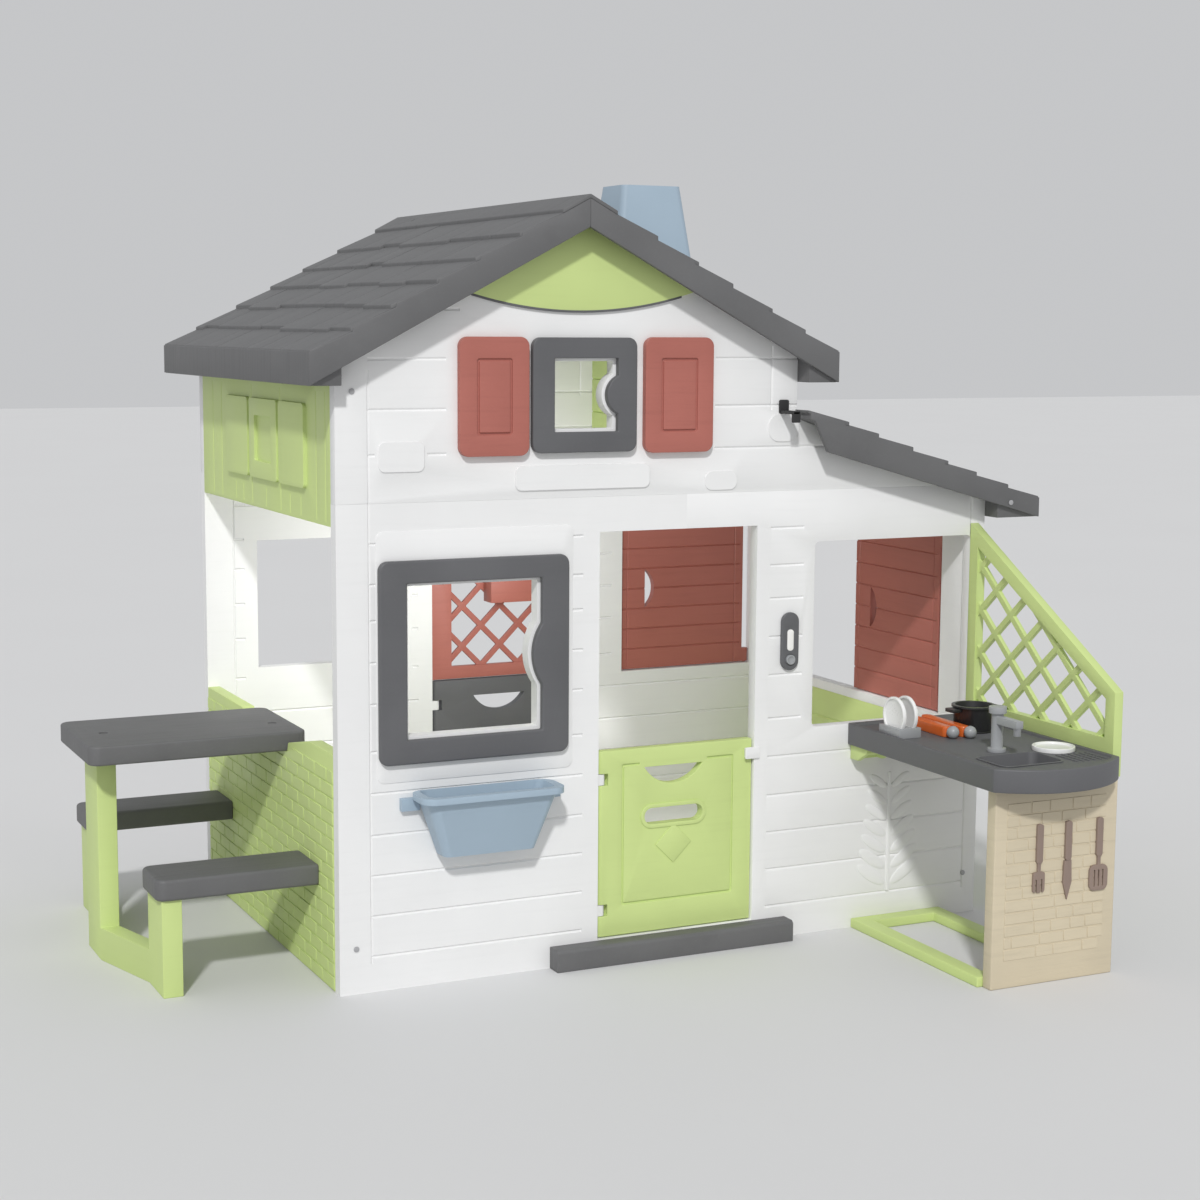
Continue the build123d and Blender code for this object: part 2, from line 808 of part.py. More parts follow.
def lens_shape(clearance):
    """The doorbell's light window, as a piece or as the pocket that holds it."""
    left = bell_centre - bell_lens_half_width + clearance
    right = bell_centre + bell_lens_half_width - clearance
    foot, top = bell_foot + bell_lens_rise[0] + clearance, bell_foot + bell_lens_rise[1] - clearance
    skin = (-bell_thickness - 1, -bell_thickness + bell_lens_seat)
    return pad(left, right, foot, top, *skin, bell_lens_corner - clearance)


def bell_lens():
    return lens_shape(slip)


def bell_button():
    face = -bell_thickness - bell_button_travel - 1
    back = wall - bell_button_tail
    cap = rod_along_y(bell_centre, bell_button_level, face, back, bell_button_radius)
    dish_radius = bell_button_radius - bell_button_dish
    return cap - rod_along_y(bell_centre, bell_button_level, face - 1, face + 1, dish_radius)


def bell_housing():
    """The chime's battery box on the wall's inner face, behind the button."""
    half_width, drop, shortfall, depth = housing_margin
    foot, top = bell_foot - drop, bell_foot + bell_size[1] - shortfall
    box = block(bell_centre - half_width, bell_centre + half_width, wall, wall + depth, foot, top)
    tail = (wall - 1, wall + bell_button_tail)
    return box - rod_along_y(bell_centre, bell_button_level, *tail, bell_button_radius + 2)


def planter():
    """A hanging trough that narrows downwards, with a flat rim and a lug at each end."""
    rim_width, rim_depth, rim_top = planter_rim
    floor_width, floor_depth, floor_z = planter_floor
    rim_foot = rim_top - planter_lip
    body_width = rim_width - planter_body_margin[0]
    body_depth = rim_depth - planter_body_margin[1]
    floor_corner, body_corner, rim_corner = planter_corners
    skin = 2 * planter_wall

    def ring(level, width, depth, radius):
        plan = Pos(planter_centre, -depth / 2) * RectangleRounded(width, depth, radius)
        return Plane.XY.offset(level) * plan

    floor = ring(floor_z, floor_width, floor_depth, floor_corner)
    shoulder = ring(rim_foot, body_width, body_depth, body_corner)
    rim = extrude(ring(rim_foot, rim_width, rim_depth, rim_corner), amount=planter_lip, dir=(0, 0, 1))
    inner_floor = ring(
        floor_z + planter_wall, floor_width - skin, floor_depth - skin, floor_corner - planter_wall
    )
    mouth = ring(rim_top + 1, body_width - skin, body_depth - skin, body_corner - planter_wall)
    hollow = Pos(0, -planter_wall, 0) * loft([inner_floor, mouth])
    lug_width, lug_height, lug_depth = planter_lug
    lugs = []
    for side in (-1, 1):
        left = planter_centre + side * rim_width / 2 - lug_width / 2
        lugs.append(block(left, left + lug_width, -lug_depth, 0, rim_foot - lug_height, rim_foot))
    return joined([loft([floor, shoulder]), rim] + lugs) - hollow


# ----------------------------------------------------------------------------------- picnic table
def rounded_slab(x0, x1, y0, y1, z0, z1, radius):
    middle = Pos((x0 + x1) / 2, (y0 + y1) / 2)
    outline = Plane.XY.offset(z0) * middle * RectangleRounded(x1 - x0, y1 - y0, radius)
    return extrude(outline, amount=z1 - z0, dir=(0, 0, 1))


def table_top():
    span = (table_front, table_front + table_depth)
    levels = (table_underside, table_top_height)
    return rounded_slab(table_left, table_right, *span, *levels, table_corner)


def bench(front):
    span = (front, front + bench_depth)
    levels = (bench_underside, bench_height)
    slab = rounded_slab(bench_left, 0, *span, *levels, bench_corner)
    return slab + block(-bench_root, 0, *span, *levels)


def table_support():
    """One moulding: a table leg and two bench legs, joined on the ground by two angled bars."""
    leg_front = table_front + (table_depth - leg_depth) / 2
    leg_back = leg_front + leg_depth
    leg_right = table_leg_left + leg_thickness
    pieces = [block(table_leg_left, leg_right, leg_front, leg_back, 0, table_underside)]
    bench_leg_left = bench_left + bench_leg_inset
    front_bar_end = front_bench_front + bench_depth - foot_bar_lap
    rear_bar_end = rear_bench_front + foot_bar_lap
    for bench_front, near, far in (
        (front_bench_front, leg_front, front_bar_end),
        (rear_bench_front, leg_back, rear_bar_end),
    ):
        leg_y = bench_front + (bench_depth - leg_depth) / 2
        right = bench_leg_left + leg_thickness
        pieces.append(block(bench_leg_left, right, leg_y, leg_y + leg_depth, 0, bench_underside))
        bar = [(table_leg_left, near), (leg_right, near), (right, far), (bench_leg_left, far)]
        pieces.append(prism_along_z(bar, 0, foot_bar_height))
    return joined(pieces)


# ----------------------------------------------------------------------------------- play kitchen
def counter_outline(margin, z0, z1):
    """The counter's plan, with a bowed near end, pulled in all round by a margin."""
    left, right = counter_left + margin, counter_right - margin
    near, far = -counter_depth + margin, -margin
    bow = ThreePointArc((left, near), ((left + right) / 2, near - counter_bow), (right, near))
    sides = Polyline((right, near), (right, far), (left, far), (left, near))
    outline = make_face(Plane.XY.offset(z0) * (bow + sides))
    return extrude(outline, amount=z1 - z0, dir=(0, 0, 1))


def kitchen_counter():
    solid = counter_outline(0, counter_underside, counter_top)
    solid -= counter_outline(counter_rim, counter_floor, counter_top + 1)
    return solid - sink_slab(sink_wall + slip, counter_underside - 1, counter_top + 1)


def sink_slab(margin, z0, z1):
    """The sink's plan, grown by a margin."""
    x0, x1, y0, y1, _ = sink
    edges = (x0 - margin, x1 + margin, y0 - margin, y1 + margin)
    return rounded_slab(*edges, z0, z1, sink_corner + margin)


def kitchen_sink():
    """A bowl that drops into the counter's hole and hangs by its lip on the tray."""
    floor = counter_floor - sink[4]
    reach, thickness = sink_lip
    bowl = sink_slab(sink_wall, floor - sink_wall, counter_floor)
    lip = sink_slab(sink_wall + reach, counter_floor, counter_floor + thickness)
    return bowl + lip - sink_slab(0, floor, counter_top + 1)


def trellis():
    """The slanted lattice that closes the kitchen's right side, on the counter's level."""
    x1 = counter_right + trellis_thickness
    x0 = counter_right
    foot = counter_underside
    near = -trellis_depth
    fall = (trellis_high - trellis_low) / trellis_depth
    outline = [(0, foot), (0, trellis_high), (near, trellis_low), (near, foot)]
    side = trellis_frame
    rail = side * math.hypot(1, fall)
    inner = [
        (-side, counter_top + side),
        (-side, trellis_high - rail - fall * side),
        (near + side, trellis_low - rail + fall * side),
        (near + side, counter_top + side),
    ]
    window = prism_along_x(inner, x0 - 1, x1 + 1)
    frame = prism_along_x(outline, x0, x1) - window
    size = (trellis_depth, trellis_high - foot)
    bars = lattice_bars(*size, trellis_pitch, trellis_bar, lattice_bar_thickness)
    bars = Plane.YZ.offset(x0 + lattice_inset) * Pos(near, foot) * bars
    return frame + (bars & prism_along_x(outline, x0, x1))


def kitchen_front_panel():
    x0, x1 = kitchen_panel
    y0 = kitchen_panel_front
    return block(x0, x1, y0, y0 + kitchen_panel_thickness, 0, counter_underside)


def kitchen_base():
    """The flat frame on the ground that ties the kitchen's front panel to the house."""
    x0, x1, reach = base_frame
    outer = block(x0, x1, -reach, 0, 0, base_height)
    return outer - block(x0 + base_bar, x1 - base_bar, -reach + base_bar, -base_bar, -1, base_height + 1)


def kitchen_bracket():
    """The hook under the counter's far left corner, which holds it against the wall."""
    width, reach, drop, end_gap = bracket
    foot = counter_underside - drop
    left = counter_left + bracket_offset
    outline = [
        (-reach, counter_underside),
        (-reach, counter_underside - bracket_lip),
        (-bracket_knee, foot),
        (0, foot),
        (0, counter_underside),
    ]
    solid = prism_along_x(outline, left, left + width)
    span = (left + bracket_wall, left + width - bracket_wall, -reach + end_gap, -end_gap)
    return solid - block(*span, foot - 1, counter_underside - bracket_roof)


def cutlery_head(centre_x, half_width, foot, corner, slot_shifts, slot_ends):
    """The flat end of a fork or a server, with its slots cut through, and the neck above it."""
    y0, y1 = kitchen_panel_front - cutlery_proud, kitchen_panel_front
    head = pad(centre_x - half_width, centre_x + half_width, foot, 244, y0 + 1, y1, corner)
    for shift in slot_shifts:
        slot_x = centre_x + shift
        head -= block(slot_x - 2, slot_x + 2, y0 - 1, y1 + 1, *slot_ends)
    return head + block(centre_x - 4, centre_x + 4, y0 + 1, y1, 240, 270)


def cutlery_piece(centre_x, tool):
    """A moulded fork, knife or slotted server that hangs handle up on the front panel."""
    y0, y1 = kitchen_panel_front - cutlery_proud, kitchen_panel_front
    half_width, handle_foot, handle_top = cutlery_handle
    handle = pad(centre_x - half_width, centre_x + half_width, handle_foot, handle_top, y0, y1, 7)
    if tool == "fork":
        return handle + cutlery_head(centre_x, 15, 200, 6, (-7, 7), (195, 228))
    if tool == "server":
        return handle + cutlery_head(centre_x, 24, 188, 14, (-11, 0, 11), (197, 233))
    blade = [(-9, handle_foot), (9, handle_foot), (11, 215), (0, 177), (-11, 215)]
    return handle + prism_along_y([(centre_x + x, z) for x, z in blade], y0 + 1, y1)


def hob_plate():
    """The dark round hot plate that lies in the counter's tray."""
    top = counter_floor + hob_thickness
    outer_radius, inner_radius, groove = hob_rings
    ring = post(*hob_centre, top - groove, top + 1, outer_radius)
    ring -= post(*hob_centre, top - groove - 1, top + 2, inner_radius)
    return post(*hob_centre, counter_floor, top, hob_radius) - ring


def pot():
    """An open pot with a thicker rim and a grip at each side, which stands on the hot plate."""
    x, y = hob_centre
    foot = counter_floor + hob_thickness + rest_gap
    top = foot + pot_height
    rim_height, rim_reach = pot_rim
    hollow = post(x, y, foot + pot_wall, top + 1, pot_radius - pot_wall)
    pieces = [post(x, y, foot, top, pot_radius)]
    pieces.append(post(x, y, top - rim_height, top, pot_radius + rim_reach))
    half_length, half_width, rise, thickness, corner = pot_grip
    levels = (foot + rise, foot + rise + thickness)
    for side in (-1, 1):
        middle = x + side * pot_grip_reach
        span = (middle - half_length, middle + half_length, y - half_width, y + half_width)
        pieces.append(rounded_slab(*span, *levels, corner))
    return joined(pieces) - hollow


def tap():
    """A column tap that turns in the counter, with a spout over the sink."""
    x, y = tap_place
    base_radius, base_height_above = tap_base
    head_radius, head_height = tap_head
    half_width, reach, half_height, nozzle_drop, nozzle_radius = tap_spout
    base_top = counter_floor + base_height_above
    head_foot = counter_floor + tap_height
    level = head_foot - head_height
    nozzle_y = y - reach + nozzle_radius
    return joined(
        [
            post(x, y, counter_floor + rest_gap, base_top, base_radius),
            post(x, y, base_top, head_foot, tap_column_radius),
            post(x, y, head_foot, head_foot + head_height, head_radius),
            block(x - half_width, x + half_width, y - reach, y, level - half_height, level + half_height),
            post(x, nozzle_y, level - nozzle_drop, level, nozzle_radius),
        ]
    )


def plate_disc(radius, thickness):
    """A shallow plate on the XY plane, with a raised edge."""
    plate = Cylinder(radius, thickness)
    return plate - Pos(0, 0, thickness * 0.35) * Cylinder(radius - plate_edge, thickness / 2)


def plate_rack():
    """A low grey rack whose slots hold two plates upright."""
    x, y = rack_place
    left, right, half_depth, height = rack_size
    levels = (counter_floor, counter_floor + height)
    solid = block(x - left, x + right, y - half_depth, y + half_depth, *levels)
    level = counter_floor + rack_slot_rise + plate_radius
    for shift in rack_slot_shifts:
        slot = Cylinder(plate_radius + slip, plate_thickness + 2 * slip)
        solid -= Pos(x + shift, y, level) * Rot(0, 90, 0) * slot
    return solid


def standing_plates():
    x, y = rack_place
    level = counter_floor + rack_slot_rise + plate_radius
    plates = []
    for shift in rack_slot_shifts:
        plate = plate_disc(plate_radius, plate_thickness)
        plates.append(Pos(x + shift, y, level) * Rot(0, -90, 0) * plate)
    return Compound(children=plates)


def flat_plate():
    plate = plate_disc(flat_plate_radius, flat_plate_thickness)
    return Pos(*flat_plate_place, counter_floor + flat_plate_thickness / 2) * plate


def utensil_handles():
    width, length, height = utensil_size
    handles = []
    for x, y in utensils:
        span = (x - width / 2, x + width / 2, y - length, y)
        levels = (counter_floor, counter_floor + height)
        handles.append(rounded_slab(*span, *levels, width / 2 - 0.5))
    return Compound(children=handles)


def utensil_tips():
    tips = []
    for x, y in utensils:
        middle = y - utensil_size[1] - utensil_tip_radius
        tip = Sphere(utensil_tip_radius)
        tips.append(Pos(x, middle, counter_floor + utensil_tip_radius) * tip)
    return Compound(children=tips)


def roof_screws():
    """Screw heads on the lean-to's fascia and on the front panels' corner posts."""
    x = house_width + lean_screw_setback
    level = (lean_under(x) + lean_fascia_foot(x)) / 2
    heads = [rod_along_y(x, level, roof_front - screw_proud, roof_front, screw_radius)]
    for x, z in screw_places:
        heads.append(rod_along_y(x, z, -screw_proud, 0, screw_radius))
    return Compound(children=heads)


# --------------------------------------------------------------------------------------- the part
def build_nodes():
    """Every piece under its node's name."""
    front_left, front_right, front_gable = split_wall(front_wall(), front_seam_x, 0, wall)
    rear_left, rear_right, rear_gable = split_wall(
        rear_wall(), (door_left + door_right) / 2, house_depth - wall, house_depth
    )
    side_span = (house_width - wall, house_width, wall, house_depth - wall)
    right_lower = block(*side_span, 0, right_lower_top)
    return {
        "front_panel_left": front_left,
        "front_panel_right": front_right,
        "front_gable_panel": front_gable,
        "front_gable_badge": gable_badge(),
        "rear_panel_left": rear_left,
        "rear_panel_right": rear_right,
        "rear_gable_panel": rear_gable,
        "left_lower_panel": left_lower_panel(),
        "left_attic_panel": left_attic_panel(),
        "right_attic_panel": attic_side_panel(gable_width - wall, gable_width, right_attic_foot),
        "right_lower_panel": right_lower,
        "right_window_panel": right_window_panel(),
        "roof_left": roof_half_panel(-1),
        "roof_right": roof_half_panel(1),
        "ridge_cap": ridge_cap(),
        "lean_to_roof": lean_to_roof(),
        "chimney": chimney(),
        "large_window_frame": window_frame(large_window, large_frame_margin, large_bump),
        "attic_window_frame": window_frame(attic_window, attic_frame_margin, attic_bump),
        "attic_shutter_left": attic_shutter(*attic_shutters[0]),
        "attic_shutter_right": attic_shutter(*attic_shutters[1]),
        "front_door_leaf": front_door(),
        "front_door_pins": hinge_pins(front_hinge),
        "door_stop": door_stop(),
        "threshold_bar": threshold_bar(),
        "doorbell_plate": bell_plate(),
        "doorbell_lens": bell_lens(),
        "doorbell_button": bell_button(),
        "doorbell_housing": bell_housing(),
        "planter": planter(),
        "rear_door_leaf": rear_door(),
        "rear_door_pins": hinge_pins(rear_hinge),
        "rear_lattice": rear_lattice(),
        "letter_box": letter_box(),
        "rear_shutter": rear_shutter(),
        "right_shutter": right_shutter(),
        "table_top": table_top(),
        "table_support": table_support(),
        "bench_front": bench(front_bench_front),
        "bench_rear": bench(rear_bench_front),
        "kitchen_counter": kitchen_counter(),
        "kitchen_sink": kitchen_sink(),
        "kitchen_front_panel": kitchen_front_panel(),
        "kitchen_base_frame": kitchen_base(),
        "kitchen_bracket": kitchen_bracket(),
        "trellis": trellis(),
        "kitchen_fork": cutlery_piece(cutlery_centres[0], "fork"),
        "kitchen_knife": cutlery_piece(cutlery_centres[1], "knife"),
        "kitchen_server": cutlery_piece(cutlery_centres[2], "server"),
        "hob_plate": hob_plate(),
        "pot": pot(),
        "tap": tap(),
        "plate_rack": plate_rack(),
        "standing_plates": standing_plates(),
        "flat_plate": flat_plate(),
        "utensil_handles": utensil_handles(),
        "utensil_tips": utensil_tips(),
        "screws": roof_screws(),
    }


os.makedirs("parts", exist_ok=True)
for node_name, node_shape in build_nodes().items():
    write_node(node_name, node_shape)
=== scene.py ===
"""A moulded plastic playhouse with its picnic table and play kitchen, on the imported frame."""

import json
import logging
import math
import random
from collections.abc import Callable, Iterable, Sequence
from dataclasses import dataclass
from enum import Enum

import bmesh
import bpy
from mathutils import Matrix, Vector


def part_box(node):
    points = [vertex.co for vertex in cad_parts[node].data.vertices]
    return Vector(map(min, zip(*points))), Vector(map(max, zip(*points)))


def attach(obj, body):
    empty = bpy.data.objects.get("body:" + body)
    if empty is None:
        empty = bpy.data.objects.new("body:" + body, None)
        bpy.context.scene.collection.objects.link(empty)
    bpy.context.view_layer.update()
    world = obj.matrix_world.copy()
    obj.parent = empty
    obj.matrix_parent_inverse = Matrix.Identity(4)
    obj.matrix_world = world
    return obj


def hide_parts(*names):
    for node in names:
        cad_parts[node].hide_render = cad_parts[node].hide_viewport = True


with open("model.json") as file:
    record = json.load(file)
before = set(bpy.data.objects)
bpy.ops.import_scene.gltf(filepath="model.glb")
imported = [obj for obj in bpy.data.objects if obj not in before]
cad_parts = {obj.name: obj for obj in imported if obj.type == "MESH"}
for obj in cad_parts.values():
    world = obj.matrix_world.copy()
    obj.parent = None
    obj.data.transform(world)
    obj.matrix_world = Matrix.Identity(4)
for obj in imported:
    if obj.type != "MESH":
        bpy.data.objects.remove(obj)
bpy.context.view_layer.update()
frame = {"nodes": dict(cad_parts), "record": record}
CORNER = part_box("front_panel_left")[0]
MM = 0.001
DOUBLED = 0.00001
SLACK = 0.0002
FLAT = math.radians(0.3)
EDGE = math.radians(32)
SMOOTH = math.radians(40)
FOLDED = 3.0
FEW_FOLDS = 30
BEVEL_TRIES = ((1.0, False), (0.6, False), (0.35, False), (0.2, False), (1.0, True))
LOG = logging.getLogger("playhouse")

Point = tuple[float, float, float]
Colour = tuple[float, float, float]


# ------------------------------------------------------------------------------ places and bodies
def at(x: float, y: float, z: float) -> Vector:
    """A place in the row frame, in metres.

    Args:
        x: Millimetres to the right of the front wall's left end.
        y: Millimetres behind the front wall's outer face.
        z: Millimetres above the ground.

    Returns:
        The same place in metres from the frame's origin.
    """
    return CORNER + Vector((x, y, z)) * MM


def house_box(node: str) -> tuple[Vector, Vector]:
    """A CAD node's lowest and highest corners, in millimetres from the house's corner."""
    low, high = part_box(node)
    return (low - CORNER) / MM, (high - CORNER) / MM


BODY_OF = {
    node: body for body, nodes in frame["record"]["behaviour"]["bodies"].items() for node in nodes
}
SLOT_OF = {part["node"]: part["material_slot"] for part in frame["record"]["subparts"]}


# ------------------------------------------------------------------------------------ shader maths
class Wire:
    """A node's output that takes part in shader maths as a Python value."""

    def __init__(self, recipe: "Recipe", socket: bpy.types.NodeSocket) -> None:
        """Keeps the socket and the recipe that its maths nodes go into."""
        self.recipe = recipe
        self.socket = socket

    def _maths(self, operation: str, first: "Wire | float", second: "Wire | float") -> "Wire":
        """Adds one Math node.

        Args:
            operation: The node's operation.
            first: Its first value or wire.
            second: Its second value or wire.

        Returns:
            The node's output.
        """
        return self.recipe.node("ShaderNodeMath", {"operation": operation}, {0: first, 1: second})

    def __add__(self, other: "Wire | float") -> "Wire":
        """self + other."""
        return self._maths("ADD", self, other)

    def __radd__(self, other: float) -> "Wire":
        """other + self."""
        return self._maths("ADD", other, self)

    def __sub__(self, other: "Wire | float") -> "Wire":
        """self - other."""
        return self._maths("SUBTRACT", self, other)

    def __rsub__(self, other: float) -> "Wire":
        """other - self."""
        return self._maths("SUBTRACT", other, self)

    def __mul__(self, other: "Wire | float") -> "Wire":
        """self * other."""
        return self._maths("MULTIPLY", self, other)

    def __rmul__(self, other: float) -> "Wire":
        """other * self."""
        return self._maths("MULTIPLY", other, self)


class Recipe:
    """One material's node tree while it is written."""

    def __init__(self, name: str) -> None:
        """Starts an empty material.

        Args:
            name: The material's name.
        """
        self.material = bpy.data.materials.new(name)
        self.material.use_nodes = True
        self.tree = self.material.node_tree
        self.tree.nodes.clear()

    def node(self, kind: str, settings: dict, inputs: dict, output: int | str = 0) -> Wire:
        """Adds a node.

        Args:
            kind: The node's type.
            settings: Its own settings, which are set before its sockets.
            inputs: Values or wires by socket name or number.
            output: The output that is wanted.

        Returns:
            The wanted output.
        """
        made = self.tree.nodes.new(kind)
        for key, value in settings.items():
            setattr(made, key, value)
        for key, value in inputs.items():
            if isinstance(value, Wire):
                self.tree.links.new(value.socket, made.inputs[key])
            else:
                made.inputs[key].default_value = value
        return Wire(self, made.outputs[output])

    def place(self, stretch: Point = (1.0, 1.0, 1.0)) -> Wire:
        """The piece's own coordinates, stretched along the axes."""
        own = self.node("ShaderNodeTexCoord", {}, {}, "Object")
        return self.node("ShaderNodeMapping", {}, {"Vector": own, "Scale": stretch})

    def noise(self, where: Wire, scale: float, detail: float = 2.0, roughness: float = 0.5) -> Wire:
        """A noise pattern from 0 to 1, at so many cells in a metre."""
        inputs = {"Vector": where, "Scale": scale, "Detail": detail, "Roughness": roughness}
        return self.node("ShaderNodeTexNoise", {}, inputs, "Fac")

    def ramp(self, value: Wire, low: float, high: float, to_low: float, to_high: float) -> Wire:
        """A value carried from one range to another, held at its ends."""
        inputs = {"Value": value, 1: low, 2: high, 3: to_low, 4: to_high}
        return self.node("ShaderNodeMapRange", {"clamp": True}, inputs)

    def blend(self, factor: Wire, first: Colour | Wire, second: Colour | Wire) -> Wire:
        """A mix of two colours.

        Args:
            factor: How much of the second there is, from 0 to 1.
            first: The colour at 0.
            second: The colour at 1.

        Returns:
            The mixed colour.
        """
        shades = {
            socket: shade if isinstance(shade, Wire) else (*shade, 1.0)
            for socket, shade in ((6, first), (7, second))
        }
        return self.node("ShaderNodeMix", {"data_type": "RGBA"}, {0: factor, **shades}, 2)

    def finish(self, shader: Wire) -> None:
        """Joins the shader to the material's output."""
        output = self.tree.nodes.new("ShaderNodeOutputMaterial")
        self.tree.links.new(shader.socket, output.inputs["Surface"])


class Grain(Enum):
    """The pattern that a mould leaves on a face: how it is stretched along X, Y and Z."""

    PEEL = (1.0, 1.0, 1.0)
    DOWN_SLOPE = (0.05, 1.0, 0.05)
    ALONG_X = (0.045, 1.0, 1.0)
    LEVEL = (0.06, 0.06, 1.0)


@dataclass(frozen=True)
class Plastic:
    """A moulded plastic: its colour, sheen and the mould's texture."""

    name: str
    colour: Colour
    roughness: float = 0.46
    grain: Grain = Grain.PEEL
    grain_depth: float = 0.25
    peel_depth: float = 0.1
    mottle: float = 0.05
    dust: float = 0.04
    coat: float = 0.0

    def material(self) -> bpy.types.Material:
        """Writes the material.

        Returns:
            A material whose colour, roughness and relief vary over the piece.
        """
        recipe = Recipe(self.name)
        place = recipe.place()
        clouds = recipe.noise(place, 4.5, 3.0)
        peel = recipe.noise(place, 620.0, 1.0)
        speckle = recipe.noise(place, 190.0, 2.0, 0.7)
        streak = recipe.noise(recipe.place(self.grain.value), 95.0, 4.0, 0.62)
        darker = tuple(part * (1.0 - 2.0 * self.mottle) for part in self.colour)
        lighter = tuple(min(1.0, part * (1.0 + self.mottle) + 0.004) for part in self.colour)
        shade = recipe.blend(recipe.ramp(clouds, 0.3, 0.7, 0.0, 1.0), darker, lighter)
        grooves = recipe.ramp(streak, 0.2, 0.48, 1.0, 0.0) * (0.5 * self.grain_depth)
        shade = recipe.blend(grooves, shade, tuple(part * 0.62 for part in self.colour))
        dusty = tuple(part * 0.7 + 0.2 for part in self.colour)
        shade = recipe.blend(recipe.ramp(speckle, 0.56, 0.8, 0.0, 1.0) * self.dust, shade, dusty)
        rough = self.roughness + 0.1 * recipe.ramp(clouds, 0.3, 0.7, -1.0, 1.0) + 0.1 * speckle
        relief = streak * self.grain_depth + peel * self.peel_depth + clouds * 0.35
        normal = recipe.node(
            "ShaderNodeBump", {}, {"Strength": 0.42, "Distance": 0.0022, "Height": relief}
        )
        shader = recipe.node(
            "ShaderNodeBsdfPrincipled",
            {},
            {
                "Base Color": shade,
                "Roughness": rough,
                "Normal": normal,
                "IOR": 1.49,
                "Coat Weight": self.coat,
                "Coat Roughness": 0.12,
            },
        )
        recipe.finish(shader)
        return recipe.material


class Finish(Enum):
    """The plastics and the metal: one for each material slot of the record, and the clip's."""

    WALL_WHITE = Plastic(
        "wall white", (0.83, 0.83, 0.825), 0.5, Grain.LEVEL, 0.12, mottle=0.012, dust=0.02
    )
    PANEL_GREEN = Plastic("panel green", (0.58, 0.7, 0.27), 0.48, Grain.LEVEL, 0.15, mottle=0.02)
    ROOF_GREY = Plastic(
        "roof grey", (0.135, 0.135, 0.137), 0.55, Grain.DOWN_SLOPE, 1.0, 0.14, dust=0.1
    )
    FRAME_GREY = Plastic("slate grey", (0.115, 0.116, 0.122), 0.46, Grain.ALONG_X, 0.2, dust=0.06)
    SHUTTER_RED = Plastic("shutter red", (0.42, 0.135, 0.105), 0.46, Grain.LEVEL, 0.45, mottle=0.03)
    SOFT_BLUE = Plastic("soft blue", (0.36, 0.46, 0.55), 0.46, Grain.LEVEL, 0.12, mottle=0.02)
    KITCHEN_BEIGE = Plastic("beige", (0.63, 0.55, 0.4), 0.5, Grain.LEVEL, 0.5, mottle=0.03)
    CUTLERY_TAUPE = Plastic("taupe", (0.27, 0.2, 0.165), 0.42, Grain.PEEL, 0.2)
    UTENSIL_ORANGE = Plastic("orange", (0.72, 0.14, 0.02), 0.34, Grain.PEEL, 0.1, 0.04, coat=0.4)
    POT_BLACK = Plastic(
        "pot black", (0.012, 0.012, 0.013), 0.3, Grain.PEEL, 0.1, 0.05, 0.2, coat=0.3
    )
    PLATE_WHITE = Plastic(
        "plate white", (0.86, 0.86, 0.85), 0.25, Grain.PEEL, 0.05, 0.03, 0.01, coat=0.5
    )
    TAP_GREY = Plastic("silver grey", (0.33, 0.34, 0.35), 0.32, Grain.PEEL, 0.1, 0.04, coat=0.3)
    BELL_LENS = Plastic("frosted lens", (0.88, 0.87, 0.84), 0.3, Grain.PEEL, 0.08, 0.03, 0.01)
    HARDWARE = Plastic("zinc plate", (0.4, 0.4, 0.41), 0.34, Grain.PEEL, 0.3, 0.1)
    HOOK_BLACK = Plastic("hook black", (0.02, 0.02, 0.021), 0.5)


MATERIALS = {finish: finish.value.material() for finish in Finish}


# ------------------------------------------------------------------------------------ the workbench
def only(*objects: bpy.types.Object) -> None:
    """Selects these objects and no others, and makes the first one active.

    Args:
        *objects: The objects.
    """
    bpy.ops.object.select_all(action="DESELECT")
    for item in objects:
        item.select_set(True)
    bpy.context.view_layer.objects.active = objects[0]


def settle(item: bpy.types.Object) -> bpy.types.Object:
    """Moves an object's place, turn and scale into its mesh.

    Args:
        item: The object.

    Returns:
        The same object, at the origin.
    """
    only(item)
    bpy.ops.object.transform_apply(location=True, rotation=True, scale=True)
    return item


def select(item: bpy.types.Object, domain: str, wanted: Callable) -> None:
    """Selects some of a mesh's vertices, edges or faces, and enters edit mode.

    Args:
        item: The object.
        domain: "VERT", "EDGE" or "FACE".
        wanted: Says whether one of them is wanted.
    """
    only(item)
    mesh = item.data
    groups = {"VERT": mesh.vertices, "EDGE": mesh.edges, "FACE": mesh.polygons}
    bpy.context.tool_settings.mesh_select_mode = [kind == domain for kind in groups]
    for group in groups.values():
        group.foreach_set("select", [False] * len(group))
    chosen = groups[domain]
    chosen.foreach_set("select", [bool(wanted(part)) for part in chosen])
    bpy.ops.object.mode_set(mode="EDIT")


def leave() -> None:
    """Leaves edit mode."""
    bpy.ops.object.mode_set(mode="OBJECT")


def block(low: Sequence[float], high: Sequence[float]) -> bpy.types.Object:
    """Makes a block.

    Args:
        low: Its lowest corner, in millimetres from the house's corner.
        high: Its highest corner.

    Returns:
        The block.
    """
    first, last = at(*low), at(*high)
    bpy.ops.mesh.primitive_cube_add(size=1, location=(first + last) / 2)
    item = bpy.context.object
    item.scale = last - first
    return settle(item)


TURN = {"X": (0, math.pi / 2, 0), "Y": (math.pi / 2, 0, 0), "Z": (0, 0, 0)}


